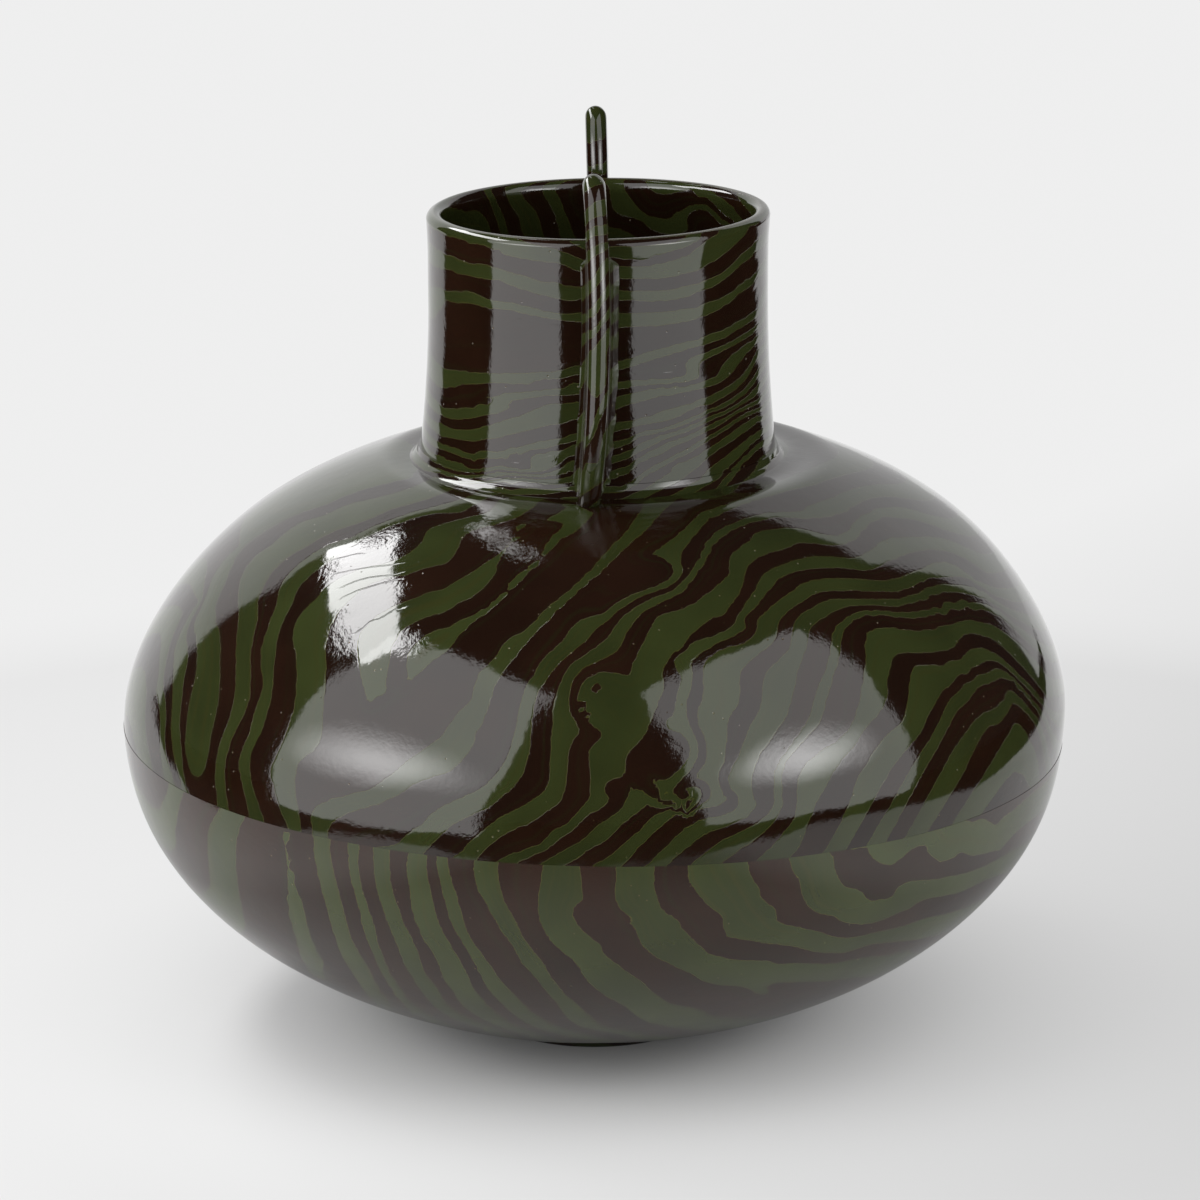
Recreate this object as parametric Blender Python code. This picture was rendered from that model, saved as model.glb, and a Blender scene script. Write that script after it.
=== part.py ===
"""A round-bellied vase with a short neck and two upright fins, built by hand from marbled clay.

Lengths are in metres and +Z is up. The vase stands on its foot at height zero, the middle of its
belly is over the origin, and its two fins stand before and behind the neck, along the Y axis.
Each piece is one that the maker forms by itself and joins with slip, the thin liquid clay.
"""
import math

import bmesh
import bpy
from mathutils import Matrix, Vector

# Room for slip in every joint, and how far a cutter runs past what it cuts
SLIP_GAP = 0.0003
OVERRUN = 0.012
MERGE_DISTANCE = 0.000001
WELD_DISTANCE = 0.00002

# Belly, whose two shells meet at a seam that slopes down to the right
BELLY_RADIUS = 0.165
BELLY_WALL = 0.0065
BELLY_LIFT = 0.00315
BASE_DEPTH = 0.1104
CROWN_HEIGHT = 0.1045
SEAM_BELOW_EQUATOR = 0.0056
SEAM_DROP = 0.003

# The upper shell leans to the right, and sinks a little round the neck
SHOULDER_LEAN = 0.0047
SHOULDER_SINK = 0.004
SINK_RADIUS = 0.08

# Coil of clay worked into the seam from inside
SEAM_COIL_HEIGHT = 0.016
SEAM_COIL_DEPTH = 0.0035
SEAM_COIL_EDGE = 0.0008
SEAM_COIL_GAP = 0.0005

# Foot ring under the belly
FOOT_RADIUS = 0.0395
FOOT_WIDTH = 0.008
FOOT_ROUNDING = 0.0014

# Neck, a waisted tube with a round lip
NECK_SHIFT = 0.00146
NECK_HEIGHT = 0.0864
NECK_FOOT_RADIUS = 0.062
NECK_WAIST_RADIUS = 0.0586
NECK_WAIST_BELOW_RIM = 0.029
LIP_RADIUS = 0.0591
LIP_THICKNESS = 0.00554
LIP_FLARE_HEIGHT = 0.014
NECK_WALL = 0.0058
RIM_RISE = 0.0008

# Coil of clay worked into the corner round the foot of the neck
ROOT_COIL_RISE = 0.003
ROOT_COIL_SPREAD = 0.002
ROOT_COIL_EDGE = 0.0007
ROOT_COIL_HOLLOW_SHARE = 0.42

# Fins, each a flat slab with round edges
FIN_THICKNESS = 0.0076
FIN_ROUNDING = 0.0042
FIN_RISE = 0.0239
FIN_APEX_RADIUS = 0.0672
FIN_INNER_RADIUS = 0.0596
FIN_INNER_DROP = 0.006
FIN_REACH = 0.0872
FIN_REACH_HEIGHT = 0.0355
FIN_TUCK = 0.007
FRONT_FIN_SHIFT = 0.0003
FRONT_FIN_LEAN = 0.0007
FRONT_FIN_BOW = 0.0026
REAR_FIN_BOW = 0.0013
REAR_FIN_TURN = math.radians(2)

# Curves of the belly: powers that round it, and the slight swelling between equator and pole
BASE_POWERS = (2.022, 2.022)
CROWN_POWERS = (2.502, 1.655)
BASE_SWELL_SHARE = 0.008
CROWN_SWELL_SHARE = -0.037

# Facets
ROUND_STEPS = 48
BASE_STEPS = 13
CROWN_STEPS = 17
LIP_STEPS = 5
NECK_STEPS = 6
NECK_OUTSIDE_STEPS = 8
COIL_STEPS = 3
FIN_WIDTH_STEPS = 11
FIN_HEIGHT_STEPS = 24
OUTLINE_STEPS = 60
HALVINGS = 40
CREASE_ANGLE = math.radians(35)

# Colours of the clays, mixed as they lie in each piece
BELLY_COLOUR = (0.034, 0.036, 0.016, 1.0)
NECK_COLOUR = (0.028, 0.026, 0.014, 1.0)
FIN_COLOUR = (0.040, 0.050, 0.018, 1.0)
FOOT_COLOUR = (0.020, 0.017, 0.011, 1.0)
INSIDE_COLOUR = (0.026, 0.022, 0.014, 1.0)
GLAZE_ROUGHNESS = 0.08

EQUATOR = BELLY_LIFT + BASE_DEPTH
SEAM = EQUATOR - SEAM_BELOW_EQUATOR


def clear_objects():
    """Remove whatever objects the file holds."""
    for thing in list(bpy.data.objects):
        bpy.data.objects.remove(thing, do_unlink=True)


def glaze(name, colour):
    """A material of clay under a glossy glaze."""
    material = bpy.data.materials.new(name)
    material.use_nodes = True
    shader = material.node_tree.nodes["Principled BSDF"]
    shader.inputs["Base Color"].default_value = colour
    shader.inputs["Roughness"].default_value = GLAZE_ROUGHNESS
    shader.inputs["Metallic"].default_value = 0.0
    material.diffuse_color = colour
    return material


def smooth(share):
    """A share held between nought and one, and eased at both ends."""
    held = min(max(share, 0.0), 1.0)
    return held * held * (3 - 2 * held)


def belly_ring(share, radius, rise, powers, swell):
    """Radius and distance from the equator at a share of the way to the pole."""
    core = max(1 - share ** powers[0], 0.0) ** (1 / powers[1])
    return radius * core * (1 + swell * math.sin(math.pi * share) ** 2), rise * share


def base_point(share, inset=0.0):
    """Radius and height of the lower shell at a share of the way down from the equator."""
    radius, drop = belly_ring(share, BELLY_RADIUS - inset, BASE_DEPTH - inset, BASE_POWERS,
                              BASE_SWELL_SHARE)
    return radius, EQUATOR - drop


def base_curve(inset):
    """Points from the lowest point of the belly up to its equator, inset from its outside."""
    shares = [math.sin(math.pi / 2 * (1 - step / BASE_STEPS)) for step in range(BASE_STEPS + 1)]
    return [base_point(share, inset) for share in shares]


def sink(radius):
    """How far the shoulder has sunk at a distance from its middle."""
    return SHOULDER_SINK * smooth((SINK_RADIUS - radius) / (SINK_RADIUS - NECK_FOOT_RADIUS))


def crown_point(share, inset=0.0):
    """Radius and height of the upper shell at a share of the way from equator to pole."""
    radius, rise = belly_ring(share, BELLY_RADIUS - inset, CROWN_HEIGHT - inset, CROWN_POWERS,
                              CROWN_SWELL_SHARE)
    return radius, EQUATOR + rise - sink(radius)


def crown_curve(inset):
    """Points from under the seam up to the middle of the shoulder, inset from the outside."""
    points = [point for point in base_curve(inset) if point[1] > SEAM - SEAM_DROP - OVERRUN]
    for step in range(1, CROWN_STEPS + 1):
        points.append(crown_point(math.sin(math.pi / 2 * step / CROWN_STEPS), inset))
    return points


def height_where(radius, curve_point):
    """Height at which the belly's outside, given as a function of share, is as wide as a radius."""
    low = 0.0
    high = 1.0
    for _ in range(HALVINGS):
        middle = (low + high) / 2
        if curve_point(middle)[0] > radius:
            low = middle
        else:
            high = middle
    return curve_point(low)[1]


SHOULDER = height_where(NECK_FOOT_RADIUS, crown_point)
RIM = SHOULDER + NECK_HEIGHT
WAIST = RIM - NECK_WAIST_BELOW_RIM
FIN_TOP = RIM + FIN_RISE
FIN_LOW = SHOULDER - OVERRUN


def wall_inside(height):
    """Inside radius of the belly at a height near the seam."""
    if height > EQUATOR:
        return crown_point((height - EQUATOR) / (CROWN_HEIGHT - BELLY_WALL), BELLY_WALL)[0]
    depth = BASE_DEPTH - BELLY_WALL
    share = (EQUATOR - height) / depth
    return belly_ring(share, BELLY_RADIUS - BELLY_WALL, depth, BASE_POWERS, BASE_SWELL_SHARE)[0]


def neck_radius(height):
    """Outside radius of the neck at a height, without its lip."""
    if height > WAIST:
        flare = smooth((height - (RIM - LIP_FLARE_HEIGHT)) / LIP_FLARE_HEIGHT)
        return NECK_WAIST_RADIUS + (LIP_RADIUS - NECK_WAIST_RADIUS) * flare
    share = (WAIST - height) / (WAIST - SHOULDER)
    return NECK_WAIST_RADIUS + (NECK_FOOT_RADIUS - NECK_WAIST_RADIUS) * share ** 2


def turned(points, closed):
    """A bmesh spun from points of radius and height about the Z axis, open between two on the axis."""
    mesh = bmesh.new()
    verts = [mesh.verts.new((radius, 0.0, height)) for radius, height in points]
    pairs = list(zip(verts, verts[1:]))
    if closed:
        pairs.append((verts[-1], verts[0]))
    edges = [mesh.edges.new(pair) for pair in pairs
             if max(pair[0].co.x, pair[1].co.x) > MERGE_DISTANCE]
    bmesh.ops.spin(mesh, geom=verts + edges, cent=(0, 0, 0), axis=(0, 0, 1), angle=math.tau,
                   steps=ROUND_STEPS, use_merge=True, use_duplicate=False)
    bmesh.ops.remove_doubles(mesh, verts=mesh.verts, dist=MERGE_DISTANCE)
    bmesh.ops.recalc_face_normals(mesh, faces=mesh.faces)
    return mesh


def turn_of(vert):
    """Angle of a vertex about the Z axis, counted from half a facet before +X."""
    return (math.atan2(vert.co.y, vert.co.x) + math.pi / ROUND_STEPS) % math.tau


def cut_at_seam(mesh, side):
    """Cut a shell along the sloping seam and close its wall; side is 1 above the seam, -1 below it."""
    normal = Vector((SEAM_DROP / BELLY_RADIUS, 0.0, 1.0)).normalized()
    place = Vector((0.0, 0.0, SEAM + side * SLIP_GAP / 2))
    found = bmesh.ops.bisect_plane(mesh, geom=mesh.verts[:] + mesh.edges[:] + mesh.faces[:],
                                   plane_co=place, plane_no=normal, clear_inner=side > 0,
                                   clear_outer=side < 0)
    rim = [item for item in found["geom_cut"] if isinstance(item, bmesh.types.BMVert)]
    rim.sort(key=lambda vert: math.hypot(vert.co.x, vert.co.y))
    inner = sorted(rim[:ROUND_STEPS], key=turn_of)
    outer = sorted(rim[ROUND_STEPS:], key=turn_of)
    for step in range(ROUND_STEPS):
        mesh.faces.new((outer[step - 1], outer[step], inner[step], inner[step - 1]))
    bmesh.ops.recalc_face_normals(mesh, faces=mesh.faces)


def lean(height):
    """How far the upper shell leans to the right at a height."""
    return SHOULDER_LEAN * (height - SEAM) / (SHOULDER - SEAM)


def lean_shoulder(mesh):
    """Lean a mesh to the right as the upper shell leans."""
    for vert in mesh.verts:
        vert.co.x += lean(vert.co.z)


def shell_curve(curve):
    """The closed outline of a shell's wall, from a function of the inset."""
    return curve(0.0) + curve(BELLY_WALL)[::-1]


def make_object(name, mesh, material):
    """An object with smooth faces and creases only at its edges."""
    data = bpy.data.meshes.new(name)
    mesh.to_mesh(data)
    mesh.free()
    data.shade_smooth()
    data.set_sharp_from_angle(angle=CREASE_ANGLE)
    thing = bpy.data.objects.new(name, data)
    bpy.context.scene.collection.objects.link(thing)
    if material is not None:
        data.materials.append(material)
    return thing


def make_cutter(name, mesh):
    """A cutter, which shows only as wires and is left out of renders."""
    thing = make_object(name, mesh, None)
    thing.hide_render = True
    thing.display_type = "WIRE"
    return thing


def cut(thing, cutter):
    """Cut one object by another."""
    modifier = thing.modifiers.new("cut by " + cutter.name, "BOOLEAN")
    modifier.operation = "DIFFERENCE"
    modifier.solver = "EXACT"
    modifier.use_self = True
    modifier.object = cutter


def lower_shell():
    """The bowl under the seam."""
    mesh = turned(shell_curve(base_curve), closed=False)
    cut_at_seam(mesh, -1)
    return make_object("lower_shell", mesh, glaze("lower shell clay", BELLY_COLOUR))


def upper_shell(mouth):
    """The dome over the seam, with the mouth cut through its top."""
    mesh = turned(shell_curve(crown_curve), closed=False)
    cut_at_seam(mesh, 1)
    lean_shoulder(mesh)
    shell = make_object("upper_shell", mesh, glaze("upper shell clay", BELLY_COLOUR))
    cut(shell, mouth)
    return shell


def seam_coil():
    """The coil inside the seam, thick in the middle and worked out thin at both edges."""
    half = SEAM_COIL_HEIGHT / 2
    count = 2 * COIL_STEPS
    outer = [(0.0, half - SEAM_COIL_HEIGHT * step / count) for step in range(count + 1)]
    inner = [(SEAM_COIL_EDGE + SEAM_COIL_DEPTH * math.cos(math.pi / 2 * place / half), place)
             for _, place in outer[::-1]]
    points = [(BELLY_RADIUS - depth, place) for depth, place in outer + inner]
    mesh = turned(points, closed=True)
    for vert in mesh.verts:
        depth = BELLY_RADIUS - math.hypot(vert.co.x, vert.co.y)
        turn = math.atan2(vert.co.y, vert.co.x)
        height = SEAM + vert.co.z - SEAM_DROP * math.cos(turn)
        radius = wall_inside(height) - SEAM_COIL_GAP - depth
        shift = lean(height) if vert.co.z > 0 else 0.0
        vert.co = Vector((radius * math.cos(turn) + shift, radius * math.sin(turn), height))
    return make_object("inner_seam_coil", mesh, glaze("seam coil clay", INSIDE_COLOUR))


def foot_ring():
    """The ring that the vase stands on, its top shaped to the belly."""
    inner_radius = FOOT_RADIUS - FOOT_WIDTH
    round_off = FOOT_ROUNDING
    points = [(FOOT_RADIUS - round_off, 0.0)]
    for step in range(1, COIL_STEPS):
        turn = math.pi / 2 * step / (COIL_STEPS - 1)
        points.append((FOOT_RADIUS - round_off + round_off * math.sin(turn),
                       round_off - round_off * math.cos(turn)))
    for step in range(COIL_STEPS + 1):
        radius = FOOT_RADIUS - FOOT_WIDTH * step / COIL_STEPS
        points.append((radius, height_where(radius, base_point) - SLIP_GAP))
    for step in range(COIL_STEPS):
        turn = math.pi / 2 * (1 - step / (COIL_STEPS - 1))
        points.append((inner_radius + round_off - round_off * math.sin(turn),
                       round_off - round_off * math.cos(turn)))
    mesh = turned(points, closed=True)
    return make_object("foot_ring", mesh, glaze("foot clay", FOOT_COLOUR))


def tilt_rim(mesh):
    """Raise the right side of the neck, more the higher it is."""
    for vert in mesh.verts:
        share = max((vert.co.z - SHOULDER) / NECK_HEIGHT, 0.0)
        vert.co.z += RIM_RISE * share * vert.co.x / LIP_RADIUS


def move_to_neck(mesh):
    """Move a mesh from the belly's axis to the neck's."""
    bmesh.ops.translate(mesh, verts=mesh.verts, vec=(NECK_SHIFT, 0, 0))


def neck_outside(growth):
    """Outer outline of the neck from its foot to the lip's crest, grown by a margin."""
    lip = LIP_THICKNESS / 2
    low = SHOULDER - OVERRUN
    high = RIM - lip
    points = []
    for step in range(NECK_OUTSIDE_STEPS + 1):
        height = low + (high - low) * step / NECK_OUTSIDE_STEPS
        points.append((neck_radius(height) + growth, height))
    for step in range(1, LIP_STEPS + 1):
        turn = math.pi / 2 * step / LIP_STEPS
        points.append((LIP_RADIUS - lip + (lip + growth) * math.cos(turn),
                       high + (lip + growth) * math.sin(turn)))
    return points


def neck_inside():
    """Inner outline of the neck from the lip's crest to its foot."""
    lip = LIP_THICKNESS / 2
    low = SHOULDER - OVERRUN
    high = RIM - lip
    points = []
    for step in range(1, LIP_STEPS + 1):
        turn = math.pi / 2 * step / LIP_STEPS
        points.append((LIP_RADIUS - lip - lip * math.sin(turn), high + lip * math.cos(turn)))
    for step in range(1, NECK_STEPS + 1):
        height = high + (low - high) * step / NECK_STEPS
        wall = LIP_THICKNESS + (NECK_WALL - LIP_THICKNESS) * step / NECK_STEPS
        points.append((neck_radius(height) - wall, height))
    return points


def neck(on_shoulder):
    """The neck, its lower end shaped to the shoulder."""
    mesh = turned(neck_outside(0.0) + neck_inside(), closed=True)
    tilt_rim(mesh)
    move_to_neck(mesh)
    thing = make_object("neck", mesh, glaze("neck clay", NECK_COLOUR))
    cut(thing, on_shoulder)
    return thing


def root_curve(growth):
    """The hollow outside of the root coil, from the shoulder up to the neck, grown by a margin."""
    points = []
    for step in range(COIL_STEPS + 1):
        share = step / COIL_STEPS
        spread = ROOT_COIL_SPREAD * (1 - share)
        rise = ROOT_COIL_RISE * share
        hollow = ROOT_COIL_HOLLOW_SHARE * math.sin(math.pi * share)
        height = SHOULDER + rise * (1 - hollow) + ROOT_COIL_EDGE
        radius = neck_radius(height) + SLIP_GAP + ROOT_COIL_EDGE + spread * (1 - hollow) + growth
        points.append((radius, height + growth))
    return points


def neck_root_coil(on_shoulder):
    """The coil worked into the corner between neck and shoulder."""
    outside = root_curve(0.0)
    low = SHOULDER - OVERRUN / 2
    top = outside[-1][1]
    points = [(outside[0][0], low)] + outside
    points.append((neck_radius(top) + SLIP_GAP, top))
    points.append((neck_radius(SHOULDER) + SLIP_GAP, SHOULDER))
    points.append((neck_radius(low) + SLIP_GAP, low))
    mesh = turned(points, closed=True)
    move_to_neck(mesh)
    thing = make_object("neck_root_coil", mesh, glaze("root coil clay", NECK_COLOUR))
    cut(thing, on_shoulder)
    return thing


def shoulder_cutter():
    """The whole belly over the seam, grown by the slip gap, which shapes what stands on it."""
    mesh = turned(grown_crown(), closed=False)
    bmesh.ops.holes_fill(mesh, edges=mesh.edges, sides=ROUND_STEPS)
    bmesh.ops.recalc_face_normals(mesh, faces=mesh.faces)
    lean_shoulder(mesh)
    return make_cutter("shoulder cutter", mesh)


def grown_crown():
    """Outline of the shoulder cutter, from the equator to the middle of the shoulder."""
    return [(radius, height + SLIP_GAP) for radius, height in crown_curve(0.0) if height > EQUATOR]


def neck_cutter():
    """The neck and its root coil, filled and grown by the slip gap, which shapes the fins."""
    root = root_curve(SLIP_GAP)
    low = (root[0][0], SHOULDER - OVERRUN)
    outside = [point for point in neck_outside(SLIP_GAP) if point[1] > root[-1][1] + SLIP_GAP]
    crest = outside[-1]
    points = [(0.0, low[1]), low] + root + outside + [(0.0, crest[1])]
    mesh = turned(points, closed=False)
    tilt_rim(mesh)
    move_to_neck(mesh)
    return make_cutter("neck cutter", mesh)


def mouth_cutter():
    """The bore through the shoulder, as wide as the neck is inside."""
    radius = neck_radius(SHOULDER) - NECK_WALL
    low = SHOULDER - 2 * OVERRUN
    high = SHOULDER + 2 * OVERRUN
    mesh = turned([(0.0, low), (radius, low), (radius, high), (0.0, high)], closed=False)
    move_to_neck(mesh)
    return make_cutter("mouth cutter", mesh)


def quarter(share):
    """A quarter circle's fall, from 1 at no share to 0 at the whole."""
    return math.sqrt(max(1 - min(share, 1.0) ** 2, 0.0))


def fin_span(height):
    """Inner and outer edge of a fin at a height, as distances from the neck's axis."""
    widest = SHOULDER + FIN_REACH_HEIGHT
    if height < widest:
        outer = FIN_REACH - FIN_TUCK * ((widest - height) / FIN_REACH_HEIGHT) ** 2
    else:
        reach = quarter((height - widest) / (FIN_TOP - widest))
        outer = FIN_APEX_RADIUS + (FIN_REACH - FIN_APEX_RADIUS) * reach
    free_from = RIM - FIN_INNER_DROP
    if height < free_from:
        return NECK_WAIST_RADIUS - FIN_THICKNESS, outer
    lean_in = quarter((height - free_from) / (FIN_TOP - free_from))
    return FIN_APEX_RADIUS - (FIN_APEX_RADIUS - FIN_INNER_RADIUS) * lean_in, outer


def fin_outline():
    """The outline of a fin's side view, in short straight steps."""
    heights = [FIN_LOW + (FIN_TOP - FIN_LOW) * math.sin(math.pi / 2 * step / OUTLINE_STEPS)
               for step in range(OUTLINE_STEPS + 1)]
    spans = [(fin_span(height), height) for height in heights]
    outer = [Vector((span[1], height)) for span, height in spans]
    inner = [Vector((span[0], height)) for span, height in spans]
    return outer + inner[-2::-1]


def edge_distance(outline, point):
    """Distance of a point from a closed outline."""
    nearest = FIN_REACH
    for start, end in zip(outline, outline[1:] + outline[:1]):
        along = end - start
        share = (point - start).dot(along) / max(along.length_squared, MERGE_DISTANCE ** 2)
        place = start + along * min(max(share, 0.0), 1.0)
        nearest = min(nearest, (place - point).length)
    return nearest


def fin_mesh():
    """A fin that stands along +X from the axis: a grid bent to its outline, swelled and mirrored."""
    outline = fin_outline()
    mesh = bmesh.new()
    bmesh.ops.create_grid(mesh, x_segments=FIN_WIDTH_STEPS, y_segments=FIN_HEIGHT_STEPS, size=1.0)
    for vert in mesh.verts:
        height = FIN_LOW + (FIN_TOP - FIN_LOW) * math.sin(math.pi / 2 * (vert.co.y + 1) / 2)
        inner, outer = fin_span(height)
        share = (1 + math.sin(math.pi / 2 * vert.co.x)) / 2
        place = Vector((inner + (outer - inner) * share, height))
        depth = 0.0 if vert.is_boundary else min(edge_distance(outline, place) / FIN_ROUNDING, 1.0)
        vert.co = Vector((place.x, -FIN_THICKNESS / 2 * quarter(1 - depth), place.y))
    other = bmesh.ops.duplicate(mesh, geom=mesh.verts[:] + mesh.edges[:] + mesh.faces[:])["geom"]
    far_side = [item for item in other if isinstance(item, bmesh.types.BMVert)]
    bmesh.ops.scale(mesh, verts=far_side, vec=(1, -1, 1))
    bmesh.ops.remove_doubles(mesh, verts=mesh.verts, dist=WELD_DISTANCE)
    bmesh.ops.recalc_face_normals(mesh, faces=mesh.faces)
    return mesh


def turn_mesh(mesh, angle, place=(0, 0, 0)):
    """Turn a mesh about an upright line."""
    bmesh.ops.rotate(mesh, verts=mesh.verts, cent=place, matrix=Matrix.Rotation(angle, 3, "Z"))


def bend(mesh, shift, lean_by, bow):
    """Shift a fin sideways, lean it to the right at its top and bow its ends to the left."""
    for vert in mesh.verts:
        share = 2 * (vert.co.z - SHOULDER) / (FIN_TOP - SHOULDER) - 1
        vert.co.x += shift + lean_by * share - bow * share ** 2


def place_fin(name, mesh, cutters):
    """A fin's object, moved to the neck and shaped to what it stands against."""
    move_to_neck(mesh)
    thing = make_object(name, mesh, glaze(name.replace("_", " ") + " clay", FIN_COLOUR))
    for cutter in cutters:
        cut(thing, cutter)
    return thing


def front_fin(cutters):
    """The fin before the neck."""
    mesh = fin_mesh()
    turn_mesh(mesh, -math.pi / 2)
    bend(mesh, FRONT_FIN_SHIFT, FRONT_FIN_LEAN, FRONT_FIN_BOW)
    return place_fin("front_fin", mesh, cutters)


def rear_fin(cutters):
    """The fin behind the neck, turned a little to the right at its outer edge."""
    mesh = fin_mesh()
    turn_mesh(mesh, -REAR_FIN_TURN, (NECK_WAIST_RADIUS, 0, 0))
    turn_mesh(mesh, math.pi / 2)
    bend(mesh, 0, 0, REAR_FIN_BOW)
    return place_fin("rear_fin", mesh, cutters)


def build():
    """Make every piece of the vase."""
    clear_objects()
    on_shoulder = shoulder_cutter()
    round_neck = neck_cutter()
    foot_ring()
    lower_shell()
    seam_coil()
    upper_shell(mouth_cutter())
    neck(on_shoulder)
    neck_root_coil(on_shoulder)
    front_fin([round_neck, on_shoulder])
    rear_fin([round_neck, on_shoulder])


build()
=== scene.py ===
"""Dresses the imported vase: marbled clay under a glossy glaze, on a pale floor in a small studio."""
import math

import bmesh
import bpy
import numpy as np
from bpy.props import FloatProperty, FloatVectorProperty, PointerProperty
from mathutils import Matrix, Vector, noise
from mathutils.bvhtree import BVHTree


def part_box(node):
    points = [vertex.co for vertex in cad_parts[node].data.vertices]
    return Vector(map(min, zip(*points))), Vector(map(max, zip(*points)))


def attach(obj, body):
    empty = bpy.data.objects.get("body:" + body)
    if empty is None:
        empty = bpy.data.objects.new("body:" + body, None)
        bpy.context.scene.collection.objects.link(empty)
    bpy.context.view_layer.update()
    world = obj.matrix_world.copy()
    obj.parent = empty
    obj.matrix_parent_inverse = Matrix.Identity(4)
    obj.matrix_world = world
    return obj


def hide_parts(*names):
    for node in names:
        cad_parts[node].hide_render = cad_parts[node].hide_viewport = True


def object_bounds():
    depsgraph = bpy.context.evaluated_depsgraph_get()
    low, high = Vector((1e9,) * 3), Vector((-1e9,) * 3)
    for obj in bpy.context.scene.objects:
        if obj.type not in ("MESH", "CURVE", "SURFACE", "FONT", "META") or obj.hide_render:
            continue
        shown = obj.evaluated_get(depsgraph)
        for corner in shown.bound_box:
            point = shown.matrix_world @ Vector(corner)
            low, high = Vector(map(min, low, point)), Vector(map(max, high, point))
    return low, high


bl_info = {
    "name": "Marbled Clay Vase",
    "version": (1, 0, 0),
    "blender": (4, 5, 0),
    "location": "View3D > Sidebar > Vase",
    "description": "Dresses the packed vase in marbled clay and glaze, in a small studio",
    "category": "Add Mesh",
}

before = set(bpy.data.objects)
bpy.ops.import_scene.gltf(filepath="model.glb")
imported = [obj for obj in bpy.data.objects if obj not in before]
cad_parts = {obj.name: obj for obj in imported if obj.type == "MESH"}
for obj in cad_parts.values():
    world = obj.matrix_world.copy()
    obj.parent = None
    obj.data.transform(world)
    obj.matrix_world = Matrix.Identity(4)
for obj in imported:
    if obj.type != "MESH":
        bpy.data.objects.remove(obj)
CAD_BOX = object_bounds()
CROWN_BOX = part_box("upper_shell")
BOWL_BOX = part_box("lower_shell")
FOOT_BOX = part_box("foot_ring")
FIN_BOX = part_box("front_fin")
BODY = "root"
MM = 0.001

# Photograph and camera, from the fit to the vase's outlines.
PHOTO_PIXELS = 1200.0
SENSOR_WIDTH = 36.0
LENS = 152.54
CAMERA_PLACE = Vector((0.00214, -1.7193, 0.6168))
CAMERA_PITCH = math.radians(74.875)

# Lengths are in metres and angles in radians, unless a comment says otherwise. What the frame
# holds is read from it.

# Belly.
BELLY_RADIUS = CROWN_BOX[1].y
BELLY_LIFT = BOWL_BOX[0].z
BELLY_WALL = 0.0065
BASE_DEPTH = 0.1104
EQUATOR = BELLY_LIFT + BASE_DEPTH
CROWN_HEIGHT = 0.1045
SEAM = EQUATOR - 0.0056
SEAM_DROP = 0.003
SEAM_ZONE = 0.03
BASE_POWERS = (2.022, 2.022)
CROWN_POWERS = (2.502, 1.655)
BASE_SWELL = 0.008
CROWN_SWELL = -0.037
SHOULDER_LEAN = 0.0047
SHOULDER_SINK = 0.004
SINK_RADIUS = 0.08
MOUTH_MARGIN = MM
MOUTH_EASING = 3 * MM

# How far the hand-made walls wander, and the waves that they do it in: size, turn, share.
UNEVENNESS = 0.00022
UNEVEN_WAVES = ((0.055, 3.1, 1.0), (0.024, 7.7, 0.45))

# Neck and lip.
NECK_SHIFT = 0.00146
NECK_HEIGHT = 0.0864
NECK_FOOT_RADIUS = 0.062
NECK_WAIST_RADIUS = 0.0586
NECK_WAIST_BELOW_RIM = 0.029
NECK_WALL = 0.0058
NECK_SUNK = 3 * MM
LIP_RADIUS = 0.0591
LIP_THICKNESS = 0.00554
LIP_FLARE_HEIGHT = 0.014
RIM_RISE = 0.0008

# The coil round the neck's foot.
ROOT_RISE = 0.003
ROOT_SPREAD = 0.002
ROOT_EDGE = 0.0007
ROOT_HOLLOW = 0.42
ROOT_SUNK = 2 * MM
ROOT_DEPTH = 1.5 * MM

# Fins.
FIN_TOP = FIN_BOX[1].z
FIN_REACH = -FIN_BOX[0].y
FIN_THICKNESS = 0.0076
FIN_ROUNDING = 0.0042
FIN_APEX_RADIUS = 0.0672
FIN_INNER_RADIUS = 0.0588
FIN_INNER_DROP = 0.006
FIN_REACH_HEIGHT = 0.0355
FIN_TUCK = 0.007
FIN_FOOT_TUCK = 0.003
FIN_FOOT_POWER = 7
FIN_SINK = 0.0048
FIN_KEY = 0.0018
FRONT_FIN = {"shift": 0.0003, "lean": 0.0007, "bow": 0.0026}
REAR_FIN = {"shift": 0.0, "lean": 0.0, "bow": 0.0013}
REAR_FIN_TURN = math.radians(2)

# The slip in the corners between a fin and the neck. Its reaches are to the sides -Y and +Y of a
# fin that still stands along +X.
SLIP_DEPTH = 0.0034
SLIP_FADE = 0.003
SLIP_LIFT = 0.0003
SLIP_REACHES = (0.0022, 0.0030)
SLIP_WAVES = 0.07
SLIP_WAVE_SIZE = 0.004
SLIP_WAVE_TURN = 1.3

# Seam coil and foot.
SEAM_COIL_HEIGHT = 0.016
SEAM_COIL_DEPTH = 0.0035
SEAM_COIL_EDGE = 0.0008
FOOT_RADIUS = FOOT_BOX[1].x
FOOT_WIDTH = 0.008
FOOT_ROUNDING = 0.0014
FOOT_KEY = 0.5 * MM

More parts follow.
